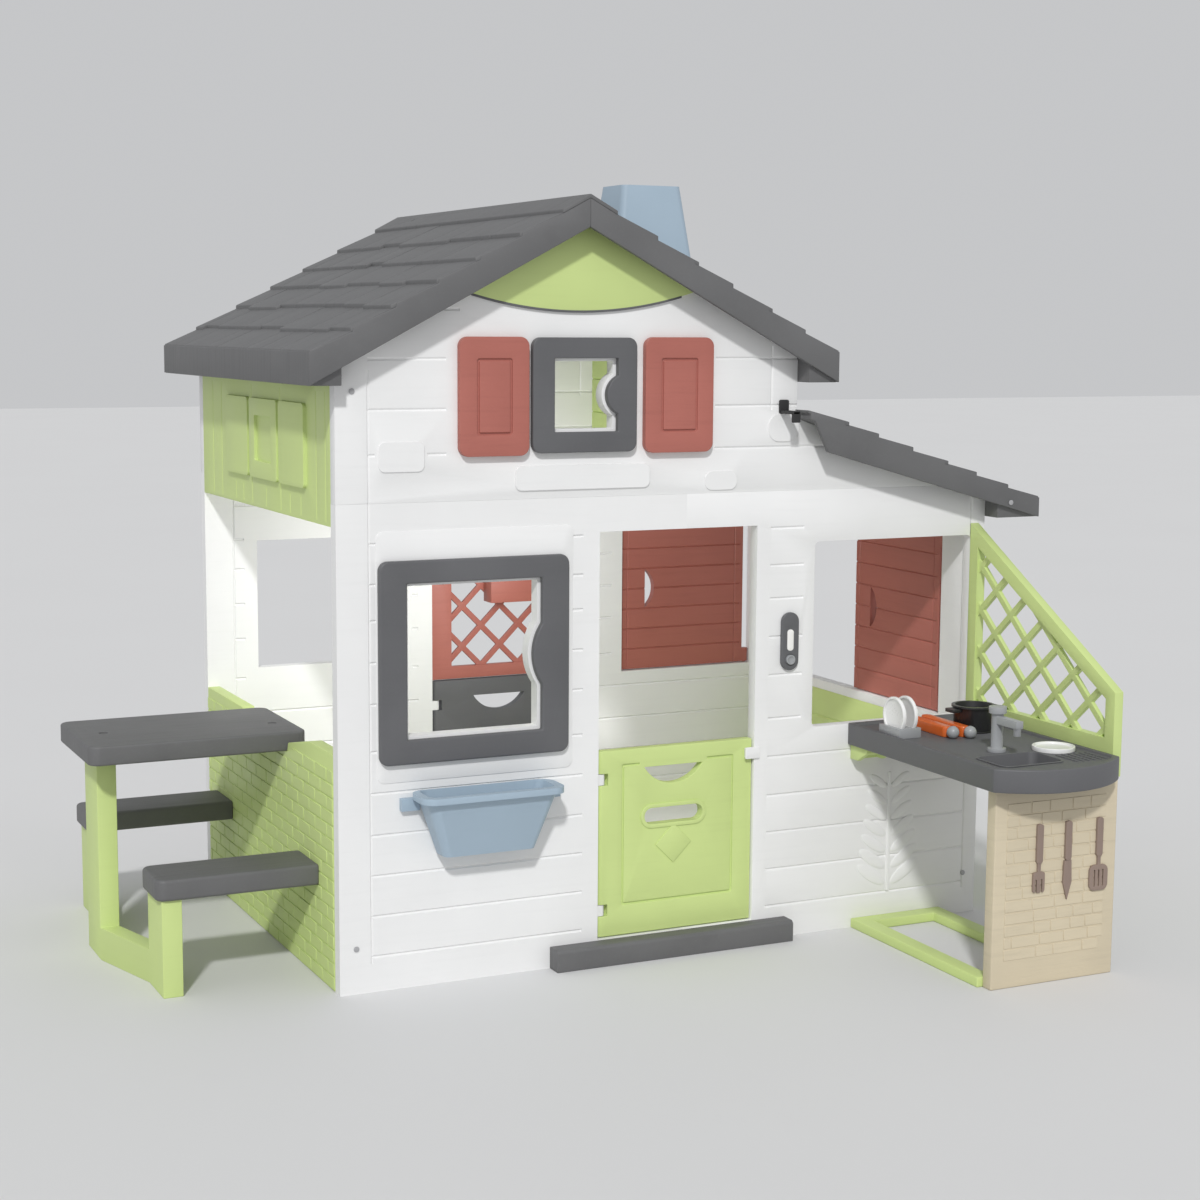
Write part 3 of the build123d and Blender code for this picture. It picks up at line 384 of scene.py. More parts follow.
def rod(
    middle: Sequence[float], axis: str, length: float, radius: float, sides: int = 32
) -> bpy.types.Object:
    """Makes a round rod.

    Args:
        middle: Its middle, in millimetres from the house's corner.
        axis: The axis that it lies along.
        length: Its length, in millimetres.
        radius: Its radius, in millimetres.
        sides: How many flat sides it has.

    Returns:
        The rod.
    """
    bpy.ops.mesh.primitive_cylinder_add(
        vertices=sides,
        radius=radius * MM,
        depth=length * MM,
        location=at(*middle),
        rotation=TURN[axis],
    )
    return settle(bpy.context.object)


def plate(
    low: Sequence[float], high: Sequence[float], axis: str, corner: float
) -> bpy.types.Object:
    """Makes a block whose four edges along one axis are rounded.

    Args:
        low: Its lowest corner, in millimetres from the house's corner.
        high: Its highest corner.
        axis: The axis that the rounded edges lie along.
        corner: Their radius, in millimetres.

    Returns:
        The block.
    """
    item = block(low, high)
    number = "XYZ".index(axis)

    def runs_along(edge: bpy.types.MeshEdge) -> bool:
        """Whether an edge lies along the axis.

        Args:
            edge: The edge.

        Returns:
            True where it does.
        """
        first, last = (item.data.vertices[index].co for index in edge.vertices)
        run = last - first
        return abs(run[number]) > 0.99 * run.length

    select(item, "EDGE", runs_along)
    bpy.ops.mesh.bevel(offset=corner * MM, segments=6, affect="EDGES")
    leave()
    return item


def vee(start: Sequence[float], end: Sequence[float], depth: float = 3.0) -> bpy.types.Object:
    """Makes a square bar stood on its corner, which cuts a V-shaped line into a face.

    Args:
        start: The line's start, in millimetres from the house's corner.
        end: Its end, along one axis from its start.
        depth: How deep it cuts, in millimetres.

    Returns:
        The bar.
    """
    run = Vector(end) - Vector(start)
    axis = max(range(3), key=lambda number: abs(run[number]))
    middle = (Vector(start) + Vector(end)) / 2
    turn = [0.0, 0.0, 0.0]
    turn[axis] = math.pi / 4
    bpy.ops.mesh.primitive_cube_add(size=1, location=at(*middle), rotation=turn)
    item = bpy.context.object
    side = depth * math.sqrt(2) * MM
    item.scale = [abs(run[axis]) * MM if number == axis else side for number in range(3)]
    return settle(item)


def gathered(items: Iterable[bpy.types.Object]) -> bpy.types.Object:
    """Joins objects into the first one.

    Args:
        items: The objects.

    Returns:
        The first one.
    """
    items = list(items)
    only(*items)
    if len(items) > 1:
        bpy.ops.object.join()
    return bpy.context.object


def shaped(
    item: bpy.types.Object, tool: bpy.types.Object, operation: str = "DIFFERENCE"
) -> bpy.types.Object:
    """Cuts a tool out of an object, or melts it in or keeps what is common.

    Args:
        item: The object.
        tool: The tool, which is removed afterwards.
        operation: "DIFFERENCE", "UNION" or "INTERSECT".

    Returns:
        The same object.
    """
    only(item)
    modifier = item.modifiers.new("shape", "BOOLEAN")
    modifier.operation = operation
    modifier.object = tool
    modifier.solver = "EXACT"
    bpy.ops.object.modifier_apply(modifier=modifier.name)
    bpy.data.objects.remove(tool)
    return item


def softened(
    item: bpy.types.Object, edge: float, segments: int = 2, folds: int = 0
) -> bpy.types.Object:
    """Rounds an object's sharp edges and shades it smooth, less widely where it would fold a face.

    Args:
        item: The object.
        edge: The rounding's width, in millimetres.
        segments: The rounding's facets.
        folds: How many folded edges are let pass, on a wall with hundreds of short ones.

    Returns:
        The same object.
    """
    only(item)
    bpy.ops.object.mode_set(mode="EDIT")
    bpy.ops.mesh.select_all(action="SELECT")
    bpy.ops.mesh.quads_convert_to_tris(quad_method="BEAUTY", ngon_method="BEAUTY")
    leave()
    plain = item.data.copy()
    for share, clamped in BEVEL_TRIES:
        item.data = plain.copy()
        modifier = item.modifiers.new("edges", "BEVEL")
        modifier.width = edge * share * MM
        modifier.segments = segments
        modifier.limit_method = "ANGLE"
        modifier.angle_limit = EDGE
        modifier.use_clamp_overlap = clamped
        modifier.loop_slide = False
        bpy.ops.object.modifier_apply(modifier=modifier.name)
        cleaned(item)
        if sound(item.data, plain, folds):
            break
    bpy.ops.object.shade_smooth_by_angle(angle=SMOOTH)
    return item


def cleaned(item: bpy.types.Object) -> None:
    """Merges a mesh's doubled vertices and dissolves its faces that have no area.

    Args:
        item: The mesh's object.
    """
    bpy.ops.object.mode_set(mode="EDIT")
    bpy.ops.mesh.select_all(action="SELECT")
    bpy.ops.mesh.remove_doubles(threshold=DOUBLED)
    bpy.ops.mesh.dissolve_degenerate(threshold=DOUBLED)
    leave()


def reach(mesh: bpy.types.Mesh) -> tuple[Vector, Vector]:
    """Finds a mesh's lowest and highest corners.

    Args:
        mesh: The mesh.

    Returns:
        The two corners, in metres.
    """
    places = [vertex.co for vertex in mesh.vertices]
    corners = [[pick(place[axis] for place in places) for axis in range(3)] for pick in (min, max)]
    return Vector(corners[0]), Vector(corners[1])


def sound(mesh: bpy.types.Mesh, plain: bpy.types.Mesh, folds: int) -> bool:
    """Whether rounded edges kept inside the plain mesh's reach, with few faces folded back.

    Args:
        mesh: The mesh with rounded edges.
        plain: The mesh before that.
        folds: How many folded edges are let pass.

    Returns:
        True where the mesh can be used.
    """
    new_low, new_high = reach(mesh)
    low, high = reach(plain)
    if min(new_low - low) < -SLACK or max(new_high - high) > SLACK:
        return False
    work = bmesh.new()
    work.from_mesh(mesh)
    angles = [edge.calc_face_angle(0.0) for edge in work.edges if len(edge.link_faces) == 2]
    work.free()
    return sum(angle > FOLDED for angle in angles) <= folds


def dressed(
    item: bpy.types.Object, name: str, finish: Finish, body: str = "house"
) -> bpy.types.Object:
    """Names a finished piece, gives it its plastic and lets it ride on its body.

    Args:
        item: The piece.
        name: Its name.
        finish: Its plastic.
        body: The body that it rides on.

    Returns:
        The same piece.
    """
    item.name = item.data.name = name
    item.data.materials.clear()
    item.data.materials.append(MATERIALS[finish])
    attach(item, body)
    LOG.info("%s: %d faces, rides on %s", name, len(item.data.polygons), body)
    return item


def blank(node: str) -> bpy.types.Object:
    """Copies a CAD node's mesh, with its triangles merged into whole faces.

    Args:
        node: The CAD node.

    Returns:
        The copy, as an object of its own.
    """
    mesh = frame["nodes"][node].data.copy()
    item = bpy.data.objects.new(f"{node}_moulding", mesh)
    bpy.context.scene.collection.objects.link(item)
    only(item)
    if mesh.has_custom_normals:
        bpy.ops.mesh.customdata_custom_splitnormals_clear()
    bpy.ops.object.mode_set(mode="EDIT")
    bpy.ops.mesh.select_all(action="SELECT")
    bpy.ops.mesh.remove_doubles(threshold=DOUBLED)
    bpy.ops.mesh.dissolve_limited(angle_limit=FLAT)
    leave()
    return item


def moulding(
    node: str,
    edge: float = 1.5,
    segments: int = 2,
    cuts: Sequence[bpy.types.Object] = (),
    swells: Sequence[bpy.types.Object] = (),
    dents: Sequence[bpy.types.Object] = (),
    folds: int = 0,
) -> bpy.types.Object:
    """Builds the moulded piece that stands for a CAD node.

    Args:
        node: The CAD node.
        edge: The width of its rounded edges, in millimetres.
        segments: The facets of each rounded edge.
        cuts: Tools that are cut out of it, each a mesh whose parts don't cross.
        swells: Raised parts that are melted into it.
        dents: Tools that are cut out after its edges are rounded.
        folds: How many folded edges are let pass.

    Returns:
        The finished piece.
    """
    item = blank(node)
    for swell in swells:
        shaped(item, swell, "UNION")
    for cut in cuts:
        shaped(item, cut)
    softened(item, edge, segments, folds)
    for dent in dents:
        shaped(item, dent)
        bpy.ops.object.shade_smooth_by_angle(angle=SMOOTH)
    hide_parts(node)
    return dressed(item, f"{node}_moulding", Finish[SLOT_OF[node].upper()], BODY_OF[node])


def copied(
    master: bpy.types.Object, shift: Sequence[float], scale: Sequence[float]
) -> bpy.types.Object:
    """Copies a piece with its own mesh.

    Args:
        master: The piece, built from the house's corner.
        shift: How far the copy is moved, in millimetres.
        scale: How much longer the copy is along each axis, measured from the house's corner.

    Returns:
        The copy.
    """
    item = master.copy()
    item.data = master.data.copy()
    bpy.context.scene.collection.objects.link(item)
    grow = Matrix.Translation(CORNER) @ Matrix.Diagonal((*scale, 1.0))
    grow = grow @ Matrix.Translation(-CORNER)
    item.data.transform(Matrix.Translation(Vector(shift) * MM) @ grow)
    return item


def free_runs(
    start: float, end: float, closed: Iterable[tuple[float, float]], shortest: float = 12
) -> list[tuple[float, float]]:
    """Finds the parts of a span that no closed stretch covers.

    Args:
        start: Where the span starts.
        end: Where it ends.
        closed: The closed stretches.
        shortest: The shortest part that counts.

    Returns:
        The free parts, as start and end.
    """
    runs = []
    for low, high in sorted(closed):
        if low > start:
            runs.append((start, min(low, end)))
        start = max(start, high)
    if start < end:
        runs.append((start, end))
    return [run for run in runs if run[1] - run[0] > shortest]


# ---------------------------------------------------------------------------------------- the walls
@dataclass
class Siding:
    """The white walls' boards, and the smooth plates that interrupt them."""

    levels: tuple[float, ...] = (
        75, 160, 245, 330, 418, 505, 603, 689, 775, 849, 932, 1111, 1202, 1304
    )
    left_post: float = 70
    right_post: float = 1538
    gable_post: float = 1000
    gable_end: float = 1500
    left_post_span: tuple[float, float] = (61, 1282)
    gable_post_span: tuple[float, float] = (1192, 1330)
    right_post_span: tuple[float, float] = (61, 1006)
    line_depth: float = 3.6
    least_margin: float = 8
    wall_faces: tuple[float, float] = (0, 30)
    plates: tuple = (
        (84, 523, 438, 957),
        (548, 1004, 0, 985),
        (1090, 1538, 452, 1010),
        (238, 860, 1092, 1366),
        (380, 712, 1024, 1092),
        (84, 197, 1070, 1144),
        (985, 1078, 1116, 1190),
    )

    def lines(
        self, face: float, low: float, high: float, left: float, right: float, plates: Sequence
    ) -> list:
        """The level lines' cutters for one face of one wall panel.

        Args:
            face: Where the face lies behind the front wall's outer face.
            low: The panel's foot.
            high: The panel's top.
            left: Where the lines start.
            right: Where they end.
            plates: The smooth stretches, as left, right, foot and top.

        Returns:
            The cutters.
        """
        tools = []
        for level in self.levels:
            if not low + self.least_margin < level < high - self.least_margin:
                continue
            closed = [(x0, x1) for x0, x1, z0, z1 in plates if z0 < level < z1]
            for start, end in free_runs(left, right, closed):
                tools.append(vee((start, face, level), (end, face, level), self.line_depth))
        return tools

    def posts(self, face: float) -> list:
        """The upright lines' cutters beside the corner posts.

        Args:
            face: Where the face lies behind the front wall's outer face.

        Returns:
            The cutters.
        """
        return [
            vee((x, face, foot), (x, face, top), self.line_depth * 0.8)
            for x, (foot, top) in (
                (self.left_post, self.left_post_span),
                (self.gable_post, self.gable_post_span),
                (self.right_post, self.right_post_span),
            )
        ]


@dataclass
class FrontWall(Siding):
    """The front wall: three mouldings with boards, a plaque and a few raised marks."""

    plaque: tuple = (390, 702, 1031, 1083)
    marks: tuple = (
        (91, 190, 1076, 1138, 14),
        (836, 916, 1020, 1062, 18),
        (992, 1070, 1122, 1184, 28),
    )
    window_plate: tuple = (84, 523, 438, 957)
    window_hole: tuple = (110, 488, 495, 880)
    inner_gable_plate: tuple = (380, 720, 1092, 1366)
    short_line: tuple = (268, 1404)
    stem_x: float = 1330
    stem_foot: float = 96
    leaf_step: float = 38
    leaf_pairs: int = 7
    leaf_lean: float = 34
    first_leaf: tuple[float, float] = (46, 15)

    def raised(
        self, edges: tuple, proud: float, corner: float, hole: tuple = ()
    ) -> bpy.types.Object:
        """A flat raised field on the outer face.

        Args:
            edges: Its left, right, foot and top.
            proud: How far it stands out.
            corner: The radius of its corners.
            hole: The left, right, foot and top of what is left out of its middle.

        Returns:
            The field, sunk a little into the wall.
        """
        x0, x1, z0, z1 = edges
        field = plate((x0, -proud, z0), (x1, 8, z1), "Y", corner)
        if hole:
            field = shaped(field, block((hole[0], -20, hole[2]), (hole[1], 20, hole[3])))
        return softened(field, 1.0)

    def sprig(self) -> bpy.types.Object:
        """A plain leafy plant in low relief, for the panel beside the kitchen.

        Returns:
            The plant, half sunk into the wall.
        """
        leaves = []
        stem_x, foot = self.stem_x, self.stem_foot
        for step in range(self.leaf_pairs):
            level = foot + self.leaf_step * step
            length, width = self.first_leaf[0] - 3 * step, self.first_leaf[1] - step
            for side in (-1, 1):
                bpy.ops.mesh.primitive_uv_sphere_add(segments=20, ring_count=10, radius=1)
                leaf = bpy.context.object
                leaf.scale = Vector((length, 2.6, width)) * MM
                leaf.rotation_euler = (0, -side * math.radians(self.leaf_lean), 0)
                leaf.location = at(stem_x + side * (length * 0.86 + 6), 0, level + length * 0.5)
                leaves.append(settle(leaf))
        stem = plate((stem_x - 4, -3, foot - 20), (stem_x + 4, 3, foot + 262), "Y", 3)
        leaves.append(softened(stem, 1.0))
        return gathered(leaves)

    def build(self) -> None:
        """Models the three mouldings and their raised marks."""
        outer, inner = self.wall_faces
        height = house_box("front_gable_panel")[0].z
        seam = house_box("front_panel_right")[0].x
        inner_plates = self.plates[:3]
        window_field = self.raised(self.window_plate, 1.8, 16, self.window_hole)
        for node, left, right, raised in (
            ("front_panel_left", self.left_post, seam, [window_field]),
            ("front_panel_right", seam, self.right_post, []),
        ):
            lines = self.lines(outer, 0, height, left, right, self.plates)
            lines += self.lines(inner, 0, height, left, right, inner_plates)
            posts = [post for face in self.wall_faces for post in self.posts(face)]
            moulding(node, 0.9, 2, [gathered(lines), gathered(posts)], raised, folds=FEW_FOLDS)
        left, right = self.left_post, self.gable_end
        lines = self.lines(outer, height, right, left, right, self.plates)
        lines += self.lines(inner, height, right, left, right, (self.inner_gable_plate,))
        end, level = self.short_line
        lines.append(vee((left, outer, level), (end, outer, level), self.line_depth))
        raised = [self.raised(self.plaque, 4, 14)]
        raised += [self.raised(mark[:4], 2.6, mark[4]) for mark in self.marks]
        posts = [post for face in self.wall_faces for post in self.posts(face)]
        cuts = [gathered(lines), gathered(posts)]
        moulding("front_gable_panel", 0.9, 2, cuts, raised, folds=FEW_FOLDS)
        plant = dressed(self.sprig(), "front_sprig_relief", Finish.WALL_WHITE)
        only(plant)
        bpy.ops.object.shade_smooth_by_angle(angle=math.radians(60))


@dataclass
class RearWall(Siding):
    """The rear wall: three mouldings with the same boards as the front."""

    plates: tuple = (
        (96, 532, 498, 877),
        (548, 1008, 0, 985),
        (1096, 1538, 425, 925),
    )

    def build(self) -> None:
        """Models the three mouldings."""
        low, high = house_box("rear_gable_panel")
        faces = (low.y, high.y)
        seam = house_box("rear_panel_right")[0].x
        for node, left, right, foot, top in (
            ("rear_panel_left", self.left_post, seam, 0, low.z),
            ("rear_panel_right", seam, self.right_post, 0, low.z),
            ("rear_gable_panel", self.left_post, self.gable_end, low.z, self.gable_end),
        ):
            lines = [
                line
                for face in faces
                for line in self.lines(face, foot, top, left, right, self.plates)
            ]
            posts = [post for face in faces for post in self.posts(face)]
            moulding(node, 0.9, 2, [gathered(lines), gathered(posts)], folds=FEW_FOLDS)


@dataclass
class SidePanels:
    """The four side walls: green below and in the loft, white round the right window."""

    row: float = 29
    brick: float = 78
    joint: float = 3.2
    proud: float = 2.4
    board: float = 90
    board_count: int = 4
    seed: int = 4
    first_row: float = 4
    least_brick: float = 12
    brick_span: tuple[float, float] = (34, 986)
    saddle: tuple[float, float] = (339, 691)
    bench: tuple[float, float] = (190, 339)
    saddle_height: float = 446
    bench_height: float = 468
    full_height: float = 488
    loft_line_foot: float = 975
    full_loft_lines: tuple = (1238, (60, 120, 366, 580, 826, 900))
    short_loft_lines: tuple = (1016, (225, 300, 473, 650, 710))
    loft_levels: tuple[float, ...] = (1150, 1235)
    window_levels: tuple[float, ...] = (505, 603, 689, 775, 849)
    window_sides: tuple[float, float] = (96, 780)

    def wall_top(self, y: float) -> float:
        """How high the left wall's bricks may reach.

        Args:
            y: The place along the wall.

        Returns:
            The highest level there.
        """
        if self.saddle[0] < y < self.saddle[1]:
            return self.saddle_height
        return self.bench_height if self.bench[0] < y < self.bench[1] else self.full_height

    def bricks(self) -> bpy.types.Object:
        """The left wall's bricks in running bond.

        Returns:
            All of them as one piece, raised from the outer face.
        """
        chooser = random.Random(self.seed)
        master = block((0, 0, 0), (1, 1, 1))
        laid = []
        wall_start, wall_end = self.brick_span
        for course in range(int(self.full_height // self.row)):
            foot = self.first_row + course * self.row
            top = foot + self.row - self.joint
            y = wall_start - (self.brick / 2) * (course % 2)
            while y < wall_end:
                start, end = max(y, wall_start), min(y + self.brick - self.joint, wall_end)
                y += self.brick
                highest = min(self.wall_top(start), self.wall_top(end))
                if end - start < self.least_brick or top > highest:
                    continue
                proud = self.proud * chooser.uniform(0.75, 1.0)
                size = (proud + 1, end - start, top - foot)
                laid.append(copied(master, (-proud, start, foot), size))
        bpy.data.objects.remove(master)
        return softened(gathered(laid), 0.9, 1)

    def build(self) -> None:
        """Models the panels."""
        moulding("left_lower_panel", 2.0, 3)
        dressed(self.bricks(), "left_wall_bricks", Finish.PANEL_GREEN)
        lines = [
            vee((0, y, self.loft_line_foot), (0, y, top), 2.6)
            for top, places in (self.full_loft_lines, self.short_loft_lines)
            for y in places
        ]
        moulding("left_attic_panel", 2.0, 3, [gathered(lines)])
        boards = [self.board * step for step in range(1, self.board_count + 1)]
        self.boarded("right_attic_panel", self.loft_levels)
        foot = house_box("right_lower_panel")[0].z
        self.boarded("right_lower_panel", [foot + board for board in boards])
        low, high = house_box("right_window_panel")
        front, back = self.window_sides
        lines = [vee((high.x, low.y - 2, z), (high.x, front, z)) for z in self.window_levels]
        lines += [vee((high.x, back, z), (high.x, high.y + 2, z)) for z in self.window_levels]
        moulding("right_window_panel", 1.5, 2, [gathered(lines)])

    def boarded(self, node: str, levels: Iterable[float]) -> None:
        """Models a right side panel with level lines along both of its faces.

        Args:
            node: The panel's CAD node.
            levels: The lines' levels.
        """
        low, high = house_box(node)
        lines = [
            vee((x, low.y - 2, z), (x, high.y + 2, z)) for z in levels for x in (low.x, high.x)
        ]
        moulding(node, 1.5, 2, [gathered(lines)])


# ---------------------------------------------------------------------------------------- the roofs
@dataclass
class Slope:
    """One shingled slope: its CAD node, where it starts and how its courses fall."""

    node: str
    start: float
    pitch: float
    courses: int
    angle: float
    height: float
    side: int = 1
    step: float = 8
    tuck: float = 16
    width: float = 100
    skin: tuple[float, float] = (-5, 1.2)

    def fall(self, run: float) -> float:
        """How far the slope drops over a level run."""
        return math.tan(math.radians(self.angle)) * run

    def shake(self) -> bpy.types.Object:
        """The wedge of one shake, for the first course.

        Returns:
            The wedge, as wide as the field says, from the house's front face.
        """
        end = self.start + self.side * self.pitch
        low, high = sorted((self.start - self.side * self.tuck, end))
        under, over = self.skin
        item = block((low, 0, self.height + under), (high, self.width, self.height + over))
        edge_x, middle_z = at(end, 0, 0).x, at(0, 0, self.height - 2).z
        edge_z = middle_z - self.fall(self.pitch) * MM

        def butt(vertex: bpy.types.MeshVertex) -> bool:
            """Whether a vertex is at the shake's lower end."""
            return abs(vertex.co.x - edge_x) < DOUBLED

        for wanted, rise in (
            (butt, -self.fall(self.pitch)),
            (lambda vertex: butt(vertex) and vertex.co.z > edge_z, self.step + over),
            (lambda vertex: not butt(vertex), self.fall(self.tuck)),
        ):
            select(item, "VERT", wanted)
            bpy.ops.transform.translate(value=(0, 0, rise * MM))
            leave()
        return softened(item, 1.6, 2)


@dataclass
class Roofs:
    """Both slopes of the main roof, its ridge cap and the lean-to roof."""

    seed: int = 11
    least_width: float = 90
    most_width: float = 230
    joint: float = 3.5
    slips: tuple[float, ...] = (0.0, 0.3, 1.0)
    slip_down: float = 10
    least_slip: float = 1.5
    last_slip: float = -1.2
    inset: float = 2
    main_courses: int = 6
    main_angle: float = 28.0
    ridge_skin: float = 8
    lean_courses: int = 7
    lean_angle: float = 19.0
    lean_edge: tuple[float, float] = (1065, 1190)
    dot_setback: tuple[float, float, float] = (-30, -190, -16)

    def shakes(self, slope: Slope) -> bpy.types.Object:
        """Lays a slope's shakes in courses of uneven widths.

        Args:
            slope: The slope.

        Returns:
            All of its shakes as one piece.
        """
        chooser = random.Random(self.seed + slope.courses)
        master = slope.shake()
        low, high = house_box(slope.node)
        laid = []
        for course in range(slope.courses):
            y, back = low.y + self.inset, high.y - self.inset
            last = course == slope.courses - 1
            while y < back - 6:
                end = min(y + chooser.uniform(self.least_width, self.most_width), back)
                if back - end < self.least_width * 0.6:
                    end = back
                down = self.last_slip
                if not last:
                    down = self.least_slip + chooser.choice(self.slips) * self.slip_down
                run = slope.pitch * course + down
                wide = (end - y - self.joint) / slope.width
                shift = (slope.side * run, y, -slope.fall(run))
                laid.append(copied(master, shift, (1, wide, 1)))
                y = end
        bpy.data.objects.remove(master)
        return gathered(laid)

    def build(self) -> None:
        """Models the roofs."""
        low, high = house_box("ridge_cap")
        middle, half = (low.x + high.x) / 2, (high.x - low.x) / 2
        pitch = math.radians(self.main_angle)
        top = high.z - self.ridge_skin / math.cos(pitch) - math.tan(pitch) * half
        slopes = []
        for node, side in (("roof_left", -1), ("roof_right", 1)):
            start = middle + side * half
            eave = house_box(node)[0 if side < 0 else 1].x
            width = side * (eave - start) / self.main_courses
            slopes.append(Slope(node, start, width, self.main_courses, self.main_angle, top, side))
        start, top = self.lean_edge
        lean_low, lean_high = house_box("lean_to_roof")
        width = (lean_high.x - start) / self.lean_courses
        slopes.append(
            Slope("lean_to_roof", start, width, self.lean_courses, self.lean_angle, top)
        )
        for slope in slopes:
            moulding(slope.node, 1.6, 2)
            dressed(self.shakes(slope), f"{slope.node}_shakes", Finish.ROOF_GREY)
        right, back, down = self.dot_setback
        dot = rod((middle + right, high.y + back, high.z + down), "Z", 60, 5)
        moulding("ridge_cap", 2.0, 3, [dot])
        self.clip(lean_low.y + self.inset)

    def clip(self, front: float) -> None:
        """The black clip that ties the lean-to's upper front corner to the gable wall.

        Args:
            front: Where its front end lies behind the front wall's outer face.
        """
        arm = softened(plate((1020, front, 1184), (1040, -1, 1191), "Z", 3), 1.2)
        tab = softened(plate((1018, -5, 1184), (1042, 0, 1214), "Y", 4), 1.2)
        lip = softened(plate((1020, front, 1166), (1040, front + 6, 1190), "Y", 3), 1.2)
        dressed(gathered([arm, tab, lip]), "lean_to_clip", Finish.HOOK_BLACK)


@dataclass
class Trims:
    """The chimney, the gable badge with a painted shadow under its arc, the window frames and the
    loft's fixed shutters.
    """

    badge_line: float = 4.0
    badge_radius: float = 882.0
    badge_half_line: float = 240.0

    def build(self) -> None:
        """Models the trims."""
        moulding("chimney", 3.0, 3)
        moulding("front_gable_badge", 1.5, 2)
        for node in ("large_window_frame", "attic_window_frame"):
            moulding(node, 4.5, 4)
        for node in ("attic_shutter_left", "attic_shutter_right"):
            moulding(node, 1.4, 3)
        self.badge_edge()

    def badge_edge(self) -> None:
        """A painted shadow: a dark grey ring along the badge's lower arc, standing in for the shade
        in the gap under the badge.
        """
        low, high = house_box("front_gable_badge")
        middle = (low.x + high.x) / 2
        centre = (middle, -2, low.z + self.badge_radius)
        # Painted shadow: this dark ring sits where the badge's lower edge casts only shade on the
        # gable.
        ring = rod(centre, "Y", 8, self.badge_radius + self.badge_line, 360)
        ring = shaped(ring, rod(centre, "Y", 20, self.badge_radius - 1, 360))
        half = self.badge_half_line
        kept = block((middle - half, -20, low.z - 20), (middle + half, 1, low.z + 90))
        ring = shaped(ring, kept, "INTERSECT")
        dressed(softened(ring, 0.8), "gable_badge_painted_shadow", Finish.FRAME_GREY)


# ------------------------------------------------------------------------------ doors and shutters
@dataclass
class HalfDoors:
    """The front half door and the slate one behind it, and the doorway's trims."""

    grip_x: float = 772
    slot_level: float = 310
    slot_half: tuple[float, float] = (71.5, 18)
    lip: tuple[float, float] = (9, 2.5)
    diamond_level: float = 245
    diamond_half: float = 44

    def slot_lip(self, face: float, outward: int) -> bpy.types.Object:
        """The raised rim round the slot grip.

        Args:
            face: Where the leaf's face lies behind the front wall's outer face.
            outward: 1 where the face looks back, -1 where it looks to the front.

        Returns:
            The rim.
        """
        half_width, half_height = self.slot_half
        wide, proud = self.lip
        ends = sorted((face + outward * proud, face - outward * 3))
        rim = plate(
            (self.grip_x - half_width - wide, ends[0], self.slot_level - half_height - wide),
            (self.grip_x + half_width + wide, ends[1], self.slot_level + half_height + wide),
            "Y",
            half_height + wide - 0.5,
        )
        hole = plate(
            (self.grip_x - half_width, ends[0] - 5, self.slot_level - half_height),
            (self.grip_x + half_width, ends[1] + 5, self.slot_level + half_height),
            "Y",
            half_height - 0.5,
        )
        return softened(shaped(rim, hole), 0.9)

    def leaf(self, door: str, face: float, outward: int) -> None:
        """Models one leaf with its pins, its slot's rim and a plain diamond.

        Args:
            door: "front" or "rear".
            face: Where the leaf's outer face lies behind the front wall's.
            outward: 1 where that face looks back, -1 where it looks to the front.
        """
        moulding(f"{door}_door_leaf", 2.2, 3)
        finish = Finish[SLOT_OF[f"{door}_door_leaf"].upper()]
        dressed(self.slot_lip(face, outward), f"{door}_door_grip_rim", finish, f"{door}_door")
        middle = (self.grip_x, face + outward * 0.4, self.diamond_level)
        diamond = softened(rod(middle, "Y", 4, self.diamond_half, 4), 1.2, 2)
        dressed(diamond, f"{door}_door_diamond", finish, f"{door}_door")
        moulding(f"{door}_door_pins", 0.6)

    def build(self) -> None:
        """Models both leaves, their pins, the stop and the threshold."""
        self.leaf("front", house_box("front_door_leaf")[0].y, -1)
        self.leaf("rear", house_box("rear_door_leaf")[1].y, 1)
        moulding("door_stop", 1.0)
        moulding("threshold_bar", 2.0, 3)


@dataclass
class Doorbell:
    """The bell beside the door: plate, lens, button and the housing behind the wall."""

    def build(self) -> None:
        """Models the four pieces."""
        moulding("doorbell_plate", 1.8, 3)
        moulding("doorbell_lens", 0.4)
        moulding("doorbell_button", 0.9)
        moulding("doorbell_housing", 2.0, 3)


@dataclass
class Planter:
    """The blue window box."""

    def build(self) -> None:
        """Models the box."""
        moulding("planter", 2.4, 3)


